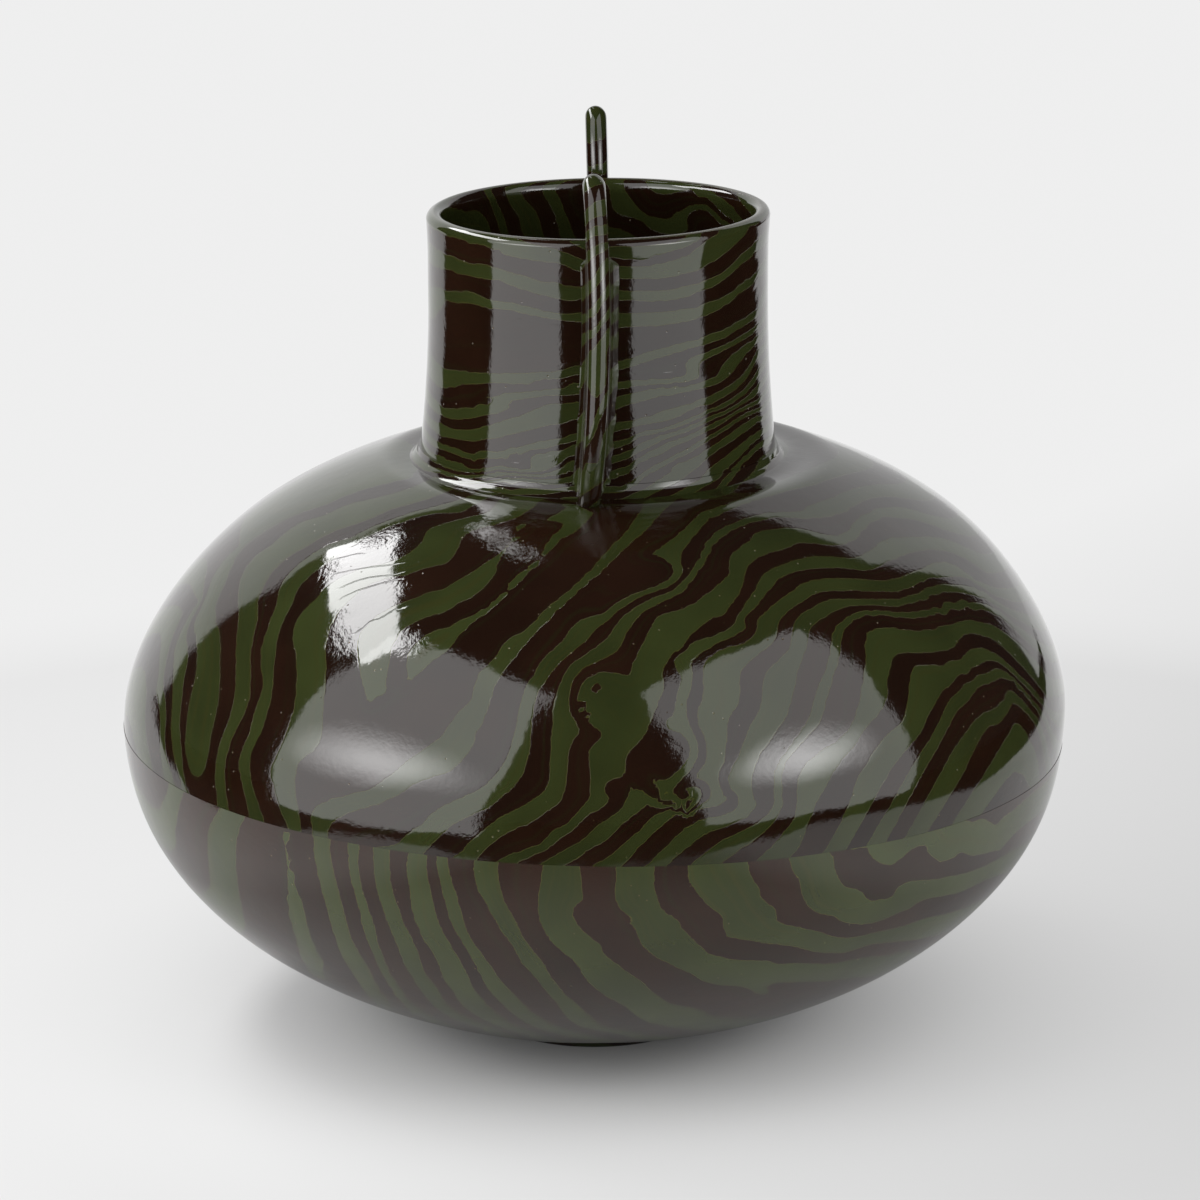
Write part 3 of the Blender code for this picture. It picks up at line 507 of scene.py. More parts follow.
# On the neck.
NECK_LINES = """
6.35: 449,320 470,321 500,325 530,329 560,332 578,333
6.65: 448,353 470,354 500,356 530,357 560,354 578,352
6.5: 622,344 640,341 660,337 680,332 700,328 720,318 740,306 757,293
8.5: 632,373 645,371 660,369 672,366 682,360 692,352
10.5: 703,378 708,372 714,366 722,357 732,348 745,342
8.5: 444,398 460,396 475,395 484,389.5 500,388 520,387 545,384 565,382
-1: 607,246.5 625,246 640,245.5 655,244.5 668,243.5 678,241.5
0: 622,259 632,259.5 640,260 648,259 655,255 662,254 670,252 680,249 688,246 694,243 699,240
1: 622,266 632,266 640,266 648,266 655,264.5 662,263 670,261 678,258.5 684,256.5 690,254 694,250
    700,246 706,241 712,237 717,235 719,231
2: 622,279 632,279 642,279 652,279 660,279 668,277.5 676,276 684,274 690,272.5 697,271 704,267
    710,263 716,260 722,256 730,249 738,242 743,237 747,231 749,227
3: 622,290.5 632,291.5 642,291 652,291 660,290.5 670,290 680,287.5 690,285 697,284 704,281 712,278
    720,274.5 726,270 732,264.5 738,258 746,251 752,246 757,240.5 759,238
4: 622,300 632,300 642,301 652,301 662,301 670,300.5 680,298 690,296 697,292 706,289 714,286
    720,282 727,277 734,271 741,264 748,259 754,253 758,250
5: 622,313 632,313 645,313 655,312.5 665,311.5 675,310.5 685,309 697,308 703,304 712,301 720,299
    728,295 735,290 742,284 750,279 756,273 758,271
6: 622,327.5 632,326.5 642,326.5 652,326.5 662,325.5 672,324 682,322.5 690,320.5 700,317 708,315
    716,311 724,306 732,300 738,294 744,290 750,286 756,279 758,276
7: 622,361 632,358 640,355 650,352 660,349.5 670,347 680,344 690,341 697,340 706,336.5 714,333
    722,331 730,327 738,322 745,318 751,314 757,310
8: 622,369 632,366 640,363.5 650,361 658,358 666,355.5 674,352.5 682,351 690,348 697,346 706,344.5
    714,341 722,339 730,333.5 738,328.5 746,324 752,320 757,317
9: 622,382 632,381 645,380.5 660,380 672,379 682,377 687,372 685,366 688,360 694,356.5 700,354.5
    708,352 716,349 724,346 732,342 740,337 748,332 754,327 757,324
10: 622,389 632,387 645,385.5 655,384.5 665,384 680,383 690,381 698,379 699,373 699,366 701,361.5
    708,358 716,354 724,350 732,346.5 740,342 748,337 754,332 757,329.5
11: 622,395 632,393 640,391 650,389 662,387 675,386 690,385 700,382.5 708,380 714,377.5 718,375
    720,370 724,364 729,358 735,352.5 741,347.5 747,343.5 752,341 757,336.5
12: 622,407 632,404 640,401.5 650,399.5 660,397 672,395 684,392 695,389.5 700,389 708,386.5 716,384
    722,381 729,376 735,369 741,361 747,353 752,348 757,342
13: 622,422 632,421 640,418.5 650,416.5 655,414.5 660,411.7 665,410 670,408.5 680,406.5 690,404
    695,402 700,399.5 706,397.5 714,394 720,391 726,387 732,384 738,379 743,374 748,367 752,361
    755,355
14: 622,430 632,427 640,424.5 650,424 658,422.5 663,421.5 670,419.7 680,416.5 684,413.5 690,410
    696,407 700,405.5 710,405 713,403.5 717,401 720,399 724,397 729,394 734,391 740,385 745,380
    750,372 754,365 757,360
15: 622,440 632,437 640,433.5 650,430.7 660,429 670,426 680,422.3 690,418.7 700,414.5 704,410.5
    710,409 714,408 720,405 726,401 730,399 736,395.5 742,391 748,385 753,378 758,370
16: 622,446 632,442 640,436 650,434.5 660,432 670,430 680,426.5 690,422.7 700,418.5 704,416
    708,413.5 713,412 720,409.5 726,407 732,403.5 736,400.5 741,397.5 746,393.5 752,386 758,378
17: 622,453 632,449 640,443.5 650,439 660,435.3 670,432 680,429 690,424.7 700,420.5 704,418.5
    708,417 713,414.5 720,411.8 728,409 735,405 741,401 746,397.5 752,391 758,384
18: 622,461 632,457 640,452 645,450 650,447 655,444.5 660,442 670,438.5 680,435 690,431 700,426
    704,424 708,422 713,420 720,417 726,414.3 732,411 738,407 742,404.5 748,401 753,398 758,393
19: 622,468 632,463 640,457 646,453.5 650,451 655,449 660,446 670,441 680,438 690,433.5 700,429
    704,426.5 710,424 716,421 722,418.7 728,415.5 734,412 740,408.7 745,406.5 750,403.5 755,401
    758,399
20: 622,475 632,470 640,462 648,459 652,457 660,455 665,452 670,448.7 680,444 690,440 700,435
    704,433 708,431 714,428 720,424.5 725,421.5 730,417.5 735,414.5 740,411 745,409.5 750,407.5
    755,405 758,404
21: 622,486 632,482 641,475 645,472 650,469 660,463 668,459 674,455.5 680,452.5 690,447 700,440.5
    706,437.5 712,434.5 718,431 724,427 730,423.5 736,420 740,417 744,415 750,411.5 755,410 758,409
22: 632,486 643,478 650,473 660,468 668,464 674,460 680,457 690,452.5 700,446 706,441.5 712,438
    718,434.5 724,431 730,427 736,422.5 742,419 746,416.5 752,413.5 757,411.7
23: 646,487 654,482.5 660,479 666,475 671,471 673,466 678,463 684,462 690,459.5 695,457 700,454
    705,450 709,448 714,445.5 720,441 726,437 732,433 738,428 744,423.5 750,420 755,416.5 758,415.5
24: 664,487 670,485 676,482 682,480 688,475 694,470 700,465 705,460.5 708,458 712,455 718,450
    724,446 730,442.5 736,438.5 742,434 748,430 754,425 758,422
25: 688,484.5 694,481.5 700,478 705,473 709,468.5 714,464.5 720,460 726,455.5 732,450.5 738,446
    744,441 750,436.5 756,433 759,431.5
26: 713,481.5 718,478 722,473.5 728,469 733,463.5 738,459 742,455 748,449.5 754,443 759,438.5
27: 716,483 721,479 726,473 732,468 738,462.5 743,457 750,450.5 756,445 760,442
28: 722,483 728,480 733,475 738,470 742,465 746,461 750,457.5 755,452 760,448
29: 744,478 751,471.5 756,464.5 761,458
2: 443,233 446,236 452,237 460,239 466,240.5 468,243.5 474,244 480,244.5 486,246 492,249 500,250
    502,254 508,255 516,257 524,259 535,260.5 548,262 558,263.5 566,266 572,269 583,272
3: 446,255 452,256 458,259 464,261 472,264 480,264 488,265 494,267.5 500,269 506,271.5 514,273.5
    522,275 530,277.5 540,281 550,282.5 558,283 566,286 574,286 583,287
4: 446,269 452,270 456,273 464,274.5 472,276 480,278 488,279 496,280 500,280 506,283 516,287
    526,290 536,293 546,295.5 556,298 562,299.5 570,300.5 583,299
5: 447,292 454,291.5 462,291.5 470,291.5 476,294 482,297 488,299.5 494,301 500,302 508,302.5
    516,304 524,306.5 534,308.5 544,311 554,313 562,314 570,314 583,313
6: 447,300 454,302 462,303 470,303 478,305 486,307 494,308.5 500,309 508,309.5 516,311 526,313.5
    536,315.5 546,317 556,318.5 564,321 572,321.5 583,322
7: 445,369 452,370 460,371 470,372.5 480,373 490,373.5 500,374 512,373.5 524,373 536,373 548,372.5
    556,371 564,370 570,367.5 575,366 583,365
8: 444,388 450,387 456,387 462,384 472,383.5 482,383 492,383 502,383 512,384 522,384 530,384
    536,381 544,379 554,379 564,378 572,376 583,375
9: 443,408 450,409 458,409 466,408.5 474,408 478,405 486,405.5 491,404 492,400.5 488,398 486,395.8
    489,394.5 494,396 500,395 510,393 520,393 530,392 540,391 550,390 558,389 564,388.5 568,385
    574,383 583,384
10: 443,416 448,418 456,419 464,419 472,418 480,416.5 488,415 496,413.5 503,411.5 508,409.5 512,407
    508,404.5 512,400.5 518,399 526,398 536,396.5 546,395 556,395 566,395.5 574,395 583,394
11: 441,423 446,426 452,428.5 460,430 470,430 478,428.5 485,426 490,425.5 496,423 504,420 512,418
    520,416 530,412 538,408.5 544,405 552,404 560,403.5 568,403 576,402 583,401
12: 440,436 446,437 454,438.5 462,440 470,441 480,440.5 490,439 498,438.5 506,436 514,434 522,431.5
    530,430 538,428 546,426 556,424.5 566,423 574,420 583,420
13: 440,443 444,445 450,447 458,449 464,452 470,454 474,455 480,451.5 488,451 496,452.5 502,451
    508,449.5 516,448 524,446 532,443.5 540,441 548,440 556,439 564,437.5 570,434.5 576,433 583,432
14: 440,449 444,450 450,452 456,454.5 462,457 470,459 478,458.5 486,458 494,458 502,458 506,459
    510,455 516,452.5 526,451.5 536,449.5 546,449 552,447 560,445 568,443 576,442 583,440
15: 439,455 444,457 450,460 456,461 462,462.5 466,466 472,469 480,469.5 488,468 496,466.5 504,466
    512,468 520,470 528,470 531,465 531,459 535,454.5 541,453 548,451.5 554,450.5 562,449 570,446
    576,444 583,443
16: 439,464.5 446,468 452,470 458,472 466,472.5 474,472.5 482,472 490,471 498,470 506,470.5 514,471
    522,472.5 530,473 538,472 546,470.5 552,468 558,466 564,461 570,457 576,456 583,455
17: 440,468 446,470 452,472 458,474 466,474.5 474,474.5 482,474 490,472.5 498,471.5 506,472
    514,472.5 522,474 530,474.5 538,474 546,473 552,471 558,469 564,465 570,461 576,459.5 583,459
18: 447,474 452,477 460,478.5 470,479 478,479 486,479 494,478.5 502,477 508,475.5 516,475 524,475.5
    532,477 540,477.5 546,477 552,476.5 558,476 566,474 574,472 583,471
19: 452,478.5 460,480 470,480.5 478,480.5 486,480.5 494,480 502,478.5 508,477 516,476.5 524,477
    532,478.5 540,479 546,479 552,478.5 558,478 566,476 574,474 583,473
20: 512,485 520,482.5 528,481.5 536,482.5 544,484 552,485 560,484.5 570,483 583,481
21: 528,488 536,488 544,488.5 552,489 560,487 570,486 583,485
"""

# Inside the mouth.
MOUTH_LINES = """
2: 449,207 458,209.5 468,212 478,211 484,216 488,223 491,231
3: 485,192 489,200 493,210 497,222 500,232
4: 492,192.5 497,203 503,215 507,228 509,235
5: 506,194 511,205 519,217 521,228 522,237
6: 521,192 527,202 535,210 540,222 544,239
7: 542,190 547,200 555,215 561,237
8: 555,189.5 561,202 568,220 575,238
9: 609,188 612,203 616,213 625,216 635,218 643,222 650,229 660,233 672,234
10: 625,190 632,200 640,210 647,215 662,219 672,218 676,212 684,210 692,205.5 700,205 710,208
    716,213 723,220 729,223
9: 688,229 688,215 694,210 701,209.5 708,211.5 713,216 718,222 724,225
8.5: 697,220 704,219
7.6: 612,236 622,237
8: 609,227 616,228.5 626,232 634,236
11: 692,190 705,197 713,203 719,210 727,217 733,221
12: 703,190 715,194 724,199 733,207 738,215 741,218
"""

# On the front fin.
FIN_LINES = """
0: 590,188 594,186.5 600,185 604,184
1: 586,210 590,206 594,203 598,201 604,199.5
2: 586,226 590,221 594,218 599,216.5 604,216
3: 586,232 590,229 594,226.5 599,225.5 604,225
4: 586,242 590,239 594,236.5 599,235.5 604,235
5: 586,254 590,250 594,246.5 599,244 605,243
6: 586,263 590,260 594,257 598,254 603,252 606,250
7: 586,284 590,281 594,277 598,270 602,264 606,259
8: 586,297 590,294 594,290 598,285 602,280 606,274
9: 587,313 590,310 594,306 598,300 602,295 606,288
10: 587,321 590,318 594,316 598,311 602,304 607,298
11: 587,332 590,330 594,328 598,324 602,318 607,312
12: 587,341 590,339 594,337 598,332 602,326 607,320
13: 588,354 590,351 594,348 598,343 602,338 607,330
14: 588,386 590,390 594,396 598,397 602,394 605,386 607,372
15: 590,434 593,425 597,413 600,405 604,396 607,392
16: 592,439 595,431 600,419 604,410 608,405
17: 586,462 590,463 596,463 603,464
"""

# On the rear fin.
REAR_FIN_LINES = """
1.4: 592,108 600,107
1.6: 590,125 602,123
2: 588,143 594,141 600,140 604,139
3: 589,167 592,166 598,164 604,163
4: 589,171 594,173 600,174.5 605,174
"""


class VaseShape(bpy.types.PropertyGroup):
    """Sizes that can be changed before the pieces are made."""
    belly_radius: FloatProperty(
        name="Belly radius", description="Outside radius of the belly at its widest",
        default=BELLY_RADIUS, subtype="DISTANCE", unit="LENGTH")
    belly_wall: FloatProperty(
        name="Belly wall", description="Thickness of the two shells",
        default=BELLY_WALL, subtype="DISTANCE", unit="LENGTH")
    lip_radius: FloatProperty(
        name="Lip radius", description="Outside radius of the round lip",
        default=LIP_RADIUS, subtype="DISTANCE", unit="LENGTH")
    fin_thickness: FloatProperty(
        name="Fin thickness", description="Thickness of the two upright fins",
        default=FIN_THICKNESS, subtype="DISTANCE", unit="LENGTH")
    unevenness: FloatProperty(
        name="Unevenness", description="How far the hand-made wall wanders in and out",
        default=UNEVENNESS, subtype="DISTANCE", unit="LENGTH")


class VaseFinish(bpy.types.PropertyGroup):
    """Colours and finish of the clays and the glaze."""
    brown: FloatVectorProperty(
        name="Brown clay", description="Colour of the dark brown layers", subtype="COLOR",
        size=3, min=0, max=1, default=BROWN_CLAY)
    green: FloatVectorProperty(
        name="Green clay", description="Colour of the olive green layers", subtype="COLOR",
        size=3, min=0, max=1, default=GREEN_CLAY)
    edge: FloatVectorProperty(
        name="Layer edge", description="Colour of the thin line between two layers",
        subtype="COLOR", size=3, min=0, max=1, default=EDGE_LINE)
    edge_width: FloatProperty(
        name="Edge width", description="Width of the line between two layers, in millimetres",
        default=EDGE_WIDTH)
    glaze_roughness: FloatProperty(
        name="Glaze roughness", description="How dull the glaze is, from 0 for a mirror",
        default=GLAZE_ROUGHNESS, min=0, max=1, subtype="FACTOR")


def shape():
    """The sizes set in the sidebar."""
    return bpy.context.scene.vase_shape


def finish():
    """The colours and finish set in the sidebar."""
    return bpy.context.scene.vase_finish


def smooth(share):
    """A share held between nought and one, and eased at both ends."""
    held = min(max(share, 0.0), 1.0)
    return held * held * (3 - 2 * held)


def quarter(share):
    """A quarter circle's fall, from 1 at no share to 0 at the whole."""
    return math.sqrt(max(1 - min(share, 1.0) ** 2, 0.0))


def belly_ring(share, radius, rise, powers, swell):
    """Radius and distance from the equator at a share of the way to the pole."""
    core = max(1 - share ** powers[0], 0.0) ** (1 / powers[1])
    return radius * core * (1 + swell * math.sin(math.pi * share) ** 2), rise * share


def bowl_point(share, inset=0.0):
    """Radius and height of the bowl at a share of the way down from the equator."""
    radius, drop = belly_ring(share, shape().belly_radius - inset, BASE_DEPTH - inset,
                              BASE_POWERS, BASE_SWELL)
    return radius, EQUATOR - drop


def sink(radius):
    """How far the shoulder has sunk at a distance from its middle."""
    return SHOULDER_SINK * smooth((SINK_RADIUS - radius) / (SINK_RADIUS - NECK_FOOT_RADIUS))


def crown_point(share, inset=0.0):
    """Radius and height of the dome at a share of the way from equator to pole."""
    radius, rise = belly_ring(share, shape().belly_radius - inset, CROWN_HEIGHT - inset,
                              CROWN_POWERS, CROWN_SWELL)
    return radius, EQUATOR + rise - sink(radius)


def share_where(radius, curve_point, inset=0.0):
    """Share of the way to the pole at which a curve of the belly has a radius."""
    low = 0.0
    high = 1.0
    for _ in range(HALVINGS):
        middle = (low + high) / 2
        if curve_point(middle, inset)[0] > radius:
            low = middle
        else:
            high = middle
    return low


# Shoulder heights by the belly's radius, so that each is worked out once.
shoulder_heights = {}


def shoulder_height():
    """Height of the shoulder where the neck's foot stands."""
    radius = shape().belly_radius
    if radius not in shoulder_heights:
        foot = crown_point(share_where(NECK_FOOT_RADIUS, crown_point))
        shoulder_heights[radius] = foot[1]
    return shoulder_heights[radius]


def belly_width(height, inset):
    """Radius of the belly at a height near the seam."""
    if height > EQUATOR:
        return crown_point((height - EQUATOR) / (CROWN_HEIGHT - inset), inset)[0]
    return bowl_point((EQUATOR - height) / (BASE_DEPTH - inset), inset)[0]


def neck_radius(height):
    """Outside radius of the neck at a height, without its lip."""
    shoulder = shoulder_height()
    rim = shoulder + NECK_HEIGHT
    waist = rim - NECK_WAIST_BELOW_RIM
    if height > waist:
        flare = smooth((height - (rim - LIP_FLARE_HEIGHT)) / LIP_FLARE_HEIGHT)
        return NECK_WAIST_RADIUS + (shape().lip_radius - NECK_WAIST_RADIUS) * flare
    share = (waist - height) / (waist - shoulder)
    return NECK_WAIST_RADIUS + (NECK_FOOT_RADIUS - NECK_WAIST_RADIUS) * share ** 2


def spun(points, closed, steps):
    """A bmesh spun about the Z axis from an outline of radius and height.

    A wedge is spun and then doubled until it goes all the way round, which is much quicker than
    one spin of many steps. The number of steps is a multiple of 2 to the power of DOUBLINGS.
    """
    mesh = bmesh.new()
    verts = [mesh.verts.new((radius, 0.0, height)) for radius, height in points]
    pairs = list(zip(verts, verts[1:]))
    if closed:
        pairs.append((verts[-1], verts[0]))
    edges = [mesh.edges.new(pair) for pair in pairs
             if max(pair[0].co.x, pair[1].co.x) > MERGE_DISTANCE]
    angle = math.tau / 2 ** DOUBLINGS
    bmesh.ops.spin(mesh, geom=verts + edges, cent=(0, 0, 0), axis=(0, 0, 1), angle=angle,
                   steps=steps // 2 ** DOUBLINGS, use_duplicate=False)
    for _ in range(DOUBLINGS):
        bmesh.ops.rotate(mesh, verts=doubled(mesh), cent=(0, 0, 0),
                         matrix=Matrix.Rotation(angle, 3, "Z"))
        angle *= 2
    bmesh.ops.remove_doubles(mesh, verts=mesh.verts, dist=MERGE_DISTANCE)
    bmesh.ops.recalc_face_normals(mesh, faces=mesh.faces)
    return mesh


def doubled(mesh):
    """Copy everything in a bmesh, and give the copy's vertices."""
    made = bmesh.ops.duplicate(mesh, geom=mesh.verts[:] + mesh.edges[:] + mesh.faces[:])
    return [item for item in made["geom"] if isinstance(item, bmesh.types.BMVert)]


def eased_shares(first, last, steps):
    """Shares from one to another, evenly spaced in turn about the belly's middle."""
    start = math.asin(first)
    end = math.asin(last)
    return [math.sin(start + (end - start) * step / steps) for step in range(steps + 1)]


def dome_outline(inset, mouth_radius, rings):
    """The dome's outline from the seam, a little under the equator, to its mouth."""
    seam_share = (EQUATOR - SEAM) / (BASE_DEPTH - inset)
    under = [bowl_point(share, inset) for share in eased_shares(seam_share, 0.0, SEAM_RINGS)]
    mouth = share_where(mouth_radius, crown_point, inset)
    over = [crown_point(share, inset) for share in eased_shares(0.0, mouth, rings)]
    return under[:-1] + over


def bowl_outline(inset, rings):
    """The bowl's outline from the seam to its middle."""
    seam_share = (EQUATOR - SEAM) / (BASE_DEPTH - inset)
    return [bowl_point(share, inset) for share in eased_shares(seam_share, 1.0, rings)]


def slope_seam(mesh, side):
    """Move a shell's edge to the sloping seam, and the wall near it along with it."""
    for vert in mesh.verts:
        away = side * (vert.co.z - SEAM) / SEAM_ZONE
        if away > 1:
            continue
        radius = math.hypot(vert.co.x, vert.co.y)
        outside = radius > belly_width(vert.co.z, shape().belly_wall / 2)
        inset = 0.0 if outside else shape().belly_wall
        height = vert.co.z - SEAM_DROP * vert.co.x / radius * (1 - smooth(away))
        scale = belly_width(height, inset) / belly_width(vert.co.z, inset)
        vert.co = Vector((vert.co.x * scale, vert.co.y * scale, height))


def lean(height):
    """How far the upper shell leans to the right at a height."""
    return SHOULDER_LEAN * (height - SEAM) / (shoulder_height() - SEAM)


def lean_dome(mesh):
    """Lean the dome to the right, with its mouth kept under the neck."""
    for vert in mesh.verts:
        radius = math.hypot(vert.co.x, vert.co.y)
        whole = lean(vert.co.z)
        under_neck = smooth((NECK_FOOT_RADIUS - MOUTH_MARGIN - radius) / MOUTH_EASING)
        vert.co.x += whole + (NECK_SHIFT - whole) * under_neck


def wander(place, size, turn):
    """A slow wander of the surface at a place, from -1 to 1."""
    return noise.noise(Vector(place) / size + Vector((turn, 0, 0)))


def make_uneven(mesh, middle, flatness):
    """Let the hand-made wall wander in and out a little, away from a middle.

    Flatness is 0 for a shell that wanders on every side of the middle, and 1 for a tube that
    wanders only sideways. The surface is held within the CAD model's width and depth.
    """
    for vert in mesh.verts:
        slow = sum(share * wander(vert.co, size, turn) for size, turn, share in UNEVEN_WAVES)
        away = vert.co - middle
        away.z *= 1 - flatness
        if away.length > MM:
            vert.co += away.normalized() * shape().unevenness * slow
        for axis in (0, 1):
            vert.co[axis] = min(max(vert.co[axis], CAD_BOX[0][axis]), CAD_BOX[1][axis])


def set_down(name, mesh, nodes):
    """Turn a bmesh into a piece of the vase that rides on the frame."""
    data = bpy.data.meshes.new(name)
    mesh.to_mesh(data)
    mesh.free()
    data.shade_smooth()
    data.set_sharp_from_angle(angle=CREASE_ANGLE)
    piece = bpy.data.objects.new(name, data)
    bpy.context.scene.collection.objects.link(piece)
    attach(piece, BODY)
    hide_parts(*nodes)
    return piece


def curve_through(points, spacing):
    """Evenly spaced points of a smooth curve through given ones."""
    given = np.array(points, float)
    ends = np.vstack([2 * given[0] - given[1], given, 2 * given[-1] - given[-2]])
    out = []
    for index in range(1, len(ends) - 2):
        before, start, end, after = ends[index - 1:index + 3]
        count = max(int(np.linalg.norm(end - start) / spacing + 0.5), 1)
        for step in range(count):
            t = step / count
            out.append(0.5 * (2 * start + (end - before) * t
                              + (2 * before - 5 * start + 4 * end - after) * t ** 2
                              + (3 * start - before - 3 * end + after) * t ** 3))
    out.append(given[-1])
    return out


def sight_line(pixel):
    """Origin and direction of the camera's line of sight through a photograph pixel."""
    focal = LENS / SENSOR_WIDTH * PHOTO_PIXELS
    right = (pixel[0] - PHOTO_PIXELS / 2) / focal
    up = (PHOTO_PIXELS / 2 - pixel[1]) / focal
    direction = Matrix.Rotation(CAMERA_PITCH, 3, "X") @ Vector((right, up, -1.0))
    return CAMERA_PLACE, direction.normalized()


def read_lines(text):
    """The layer value and the pixels of each drawn line in a text."""
    lines = []
    for word in text.split():
        if word.endswith(":"):
            lines.append((float(word[:-1]), []))
        else:
            lines[-1][1].append(tuple(float(part) for part in word.split(",")))
    return lines


def places_on(text, tree):
    """Where drawn lines lie on a surface, with each place's layer value."""
    places = []
    values = []
    for value, pixels in read_lines(text):
        for pixel in curve_through(pixels, LINE_STEP_PIXELS):
            origin, direction = sight_line(pixel)
            hit = tree.ray_cast(origin, direction)[0]
            if hit is not None:
                places.append(tuple(hit))
                values.append(value)
    return np.array(places).reshape(-1, 3), np.array(values, float)


def thin_out(places, values):
    """Drop places that lie almost on an earlier one."""
    cells = {}
    for index, place in enumerate(places):
        key = tuple(np.floor(place / NEAREST_LINE_POINTS).astype(int))
        cells.setdefault(key, index)
    kept = sorted(cells.values())
    return places[kept], values[kept]


class LayerField:
    """A smooth layer value in space, drawn through places on listed layer lines."""

    def __init__(self, places, values):
        places, values = thin_out(places, values)
        self.places = places / KERNEL_SCALE
        count = len(values)
        apart = np.linalg.norm(self.places[:, None] - self.places[None], axis=2)
        system = np.zeros((count + 4, count + 4))
        system[:count, :count] = -apart ** KERNEL_POWER + FIELD_SMOOTHING * np.eye(count)
        tail = np.hstack([np.ones((count, 1)), self.places])
        system[:count, count:] = tail
        system[count:, :count] = tail.T
        self.weights = np.linalg.solve(system, np.append(values, np.zeros(4)))

    def at(self, places):
        """Layer values at an array of places."""
        scaled = places / KERNEL_SCALE
        squares = (self.places ** 2).sum(1)
        out = np.zeros(len(scaled))
        for start in range(0, len(scaled), FIELD_CHUNK):
            part = scaled[start:start + FIELD_CHUNK]
            apart = (part ** 2).sum(1)[:, None] + squares[None] - 2 * part @ self.places.T
            near = -np.maximum(apart, 0) ** (KERNEL_POWER / 2)
            out[start:start + FIELD_CHUNK] = (near @ self.weights[:-4] + self.weights[-4]
                                              + part @ self.weights[-3:])
        return out


def vertex_places(data):
    """Places of a mesh's vertices, as an array."""
    places = np.empty(len(data.vertices) * 3, np.float32)
    data.vertices.foreach_get("co", places)
    return places.reshape(-1, 3).astype(float)


def write_layers(piece, value_at, names=("layers", "layer_width")):
    """Give a piece its layer value and layer thickness in millimetres, vertex by vertex."""
    data = piece.data
    places = vertex_places(data)
    values = value_at(places)
    ends = np.empty(len(data.edges) * 2, np.int32)
    data.edges.foreach_get("vertices", ends)
    ends = ends.reshape(-1, 2)
    length = np.maximum(np.linalg.norm(places[ends[:, 0]] - places[ends[:, 1]], axis=1),
                        MERGE_DISTANCE)
    slope = ((values[ends[:, 0]] - values[ends[:, 1]]) / length) ** 2
    total = (np.bincount(ends[:, 0], slope, len(values))
             + np.bincount(ends[:, 1], slope, len(values)))
    count = np.bincount(ends.ravel(), minlength=len(values))
    steepness = np.maximum(np.sqrt(2 * total / np.maximum(count, 1)), LEAST_STEEPNESS)
    write_attribute(data, names[0], values)
    write_attribute(data, names[1], 1 / (steepness * MM))


def write_attribute(data, name, numbers):
    """Give a mesh a number at every vertex."""
    attribute = data.attributes.new(name, "FLOAT", "POINT")
    attribute.data.foreach_set("value", numbers.astype(np.float32))


def tree_of(piece):
    """A search tree of a piece's faces."""
    mesh = bmesh.new()
    mesh.from_mesh(piece.data)
    tree = BVHTree.FromBMesh(mesh)
    mesh.free()
    return tree


def write_spots(data, name, tree, spots):
    """Give a mesh round soft spots, each given by pixel, radius in metres and amount."""
    places = vertex_places(data)
    share = np.zeros(len(places))
    for pixel, radius, amount in spots:
        middle = np.array(tree.ray_cast(*sight_line(pixel))[0])
        near = np.clip(1 - np.linalg.norm(places - middle, axis=1) / radius, 0, 1)
        share = np.maximum(share, amount * near * near * (3 - 2 * near))
    write_attribute(data, name, share)


def mirrored(places):
    """Places carried over to the other side, front to back."""
    return places * np.array((1.0, -1.0, 1.0))


def field_all_round(places, values, turn, keep_from, step):
    """A layer field whose far side has the near lines again, mirrored and turned a little.

    Only mirrored places further back than keep_from are used, and step is added to their values,
    so that the far side doesn't repeat the near one layer for layer.
    """
    far = mirrored(places)
    cosine, sine = math.cos(turn), math.sin(turn)
    turned = np.column_stack([far[:, 0] * cosine - far[:, 1] * sine,
                              far[:, 0] * sine + far[:, 1] * cosine, far[:, 2]])
    kept = np.flatnonzero(turned[:, 1] > keep_from)[::FAR_THINNING]
    return LayerField(np.vstack([places, turned[kept]]), np.append(values, values[kept] + step))


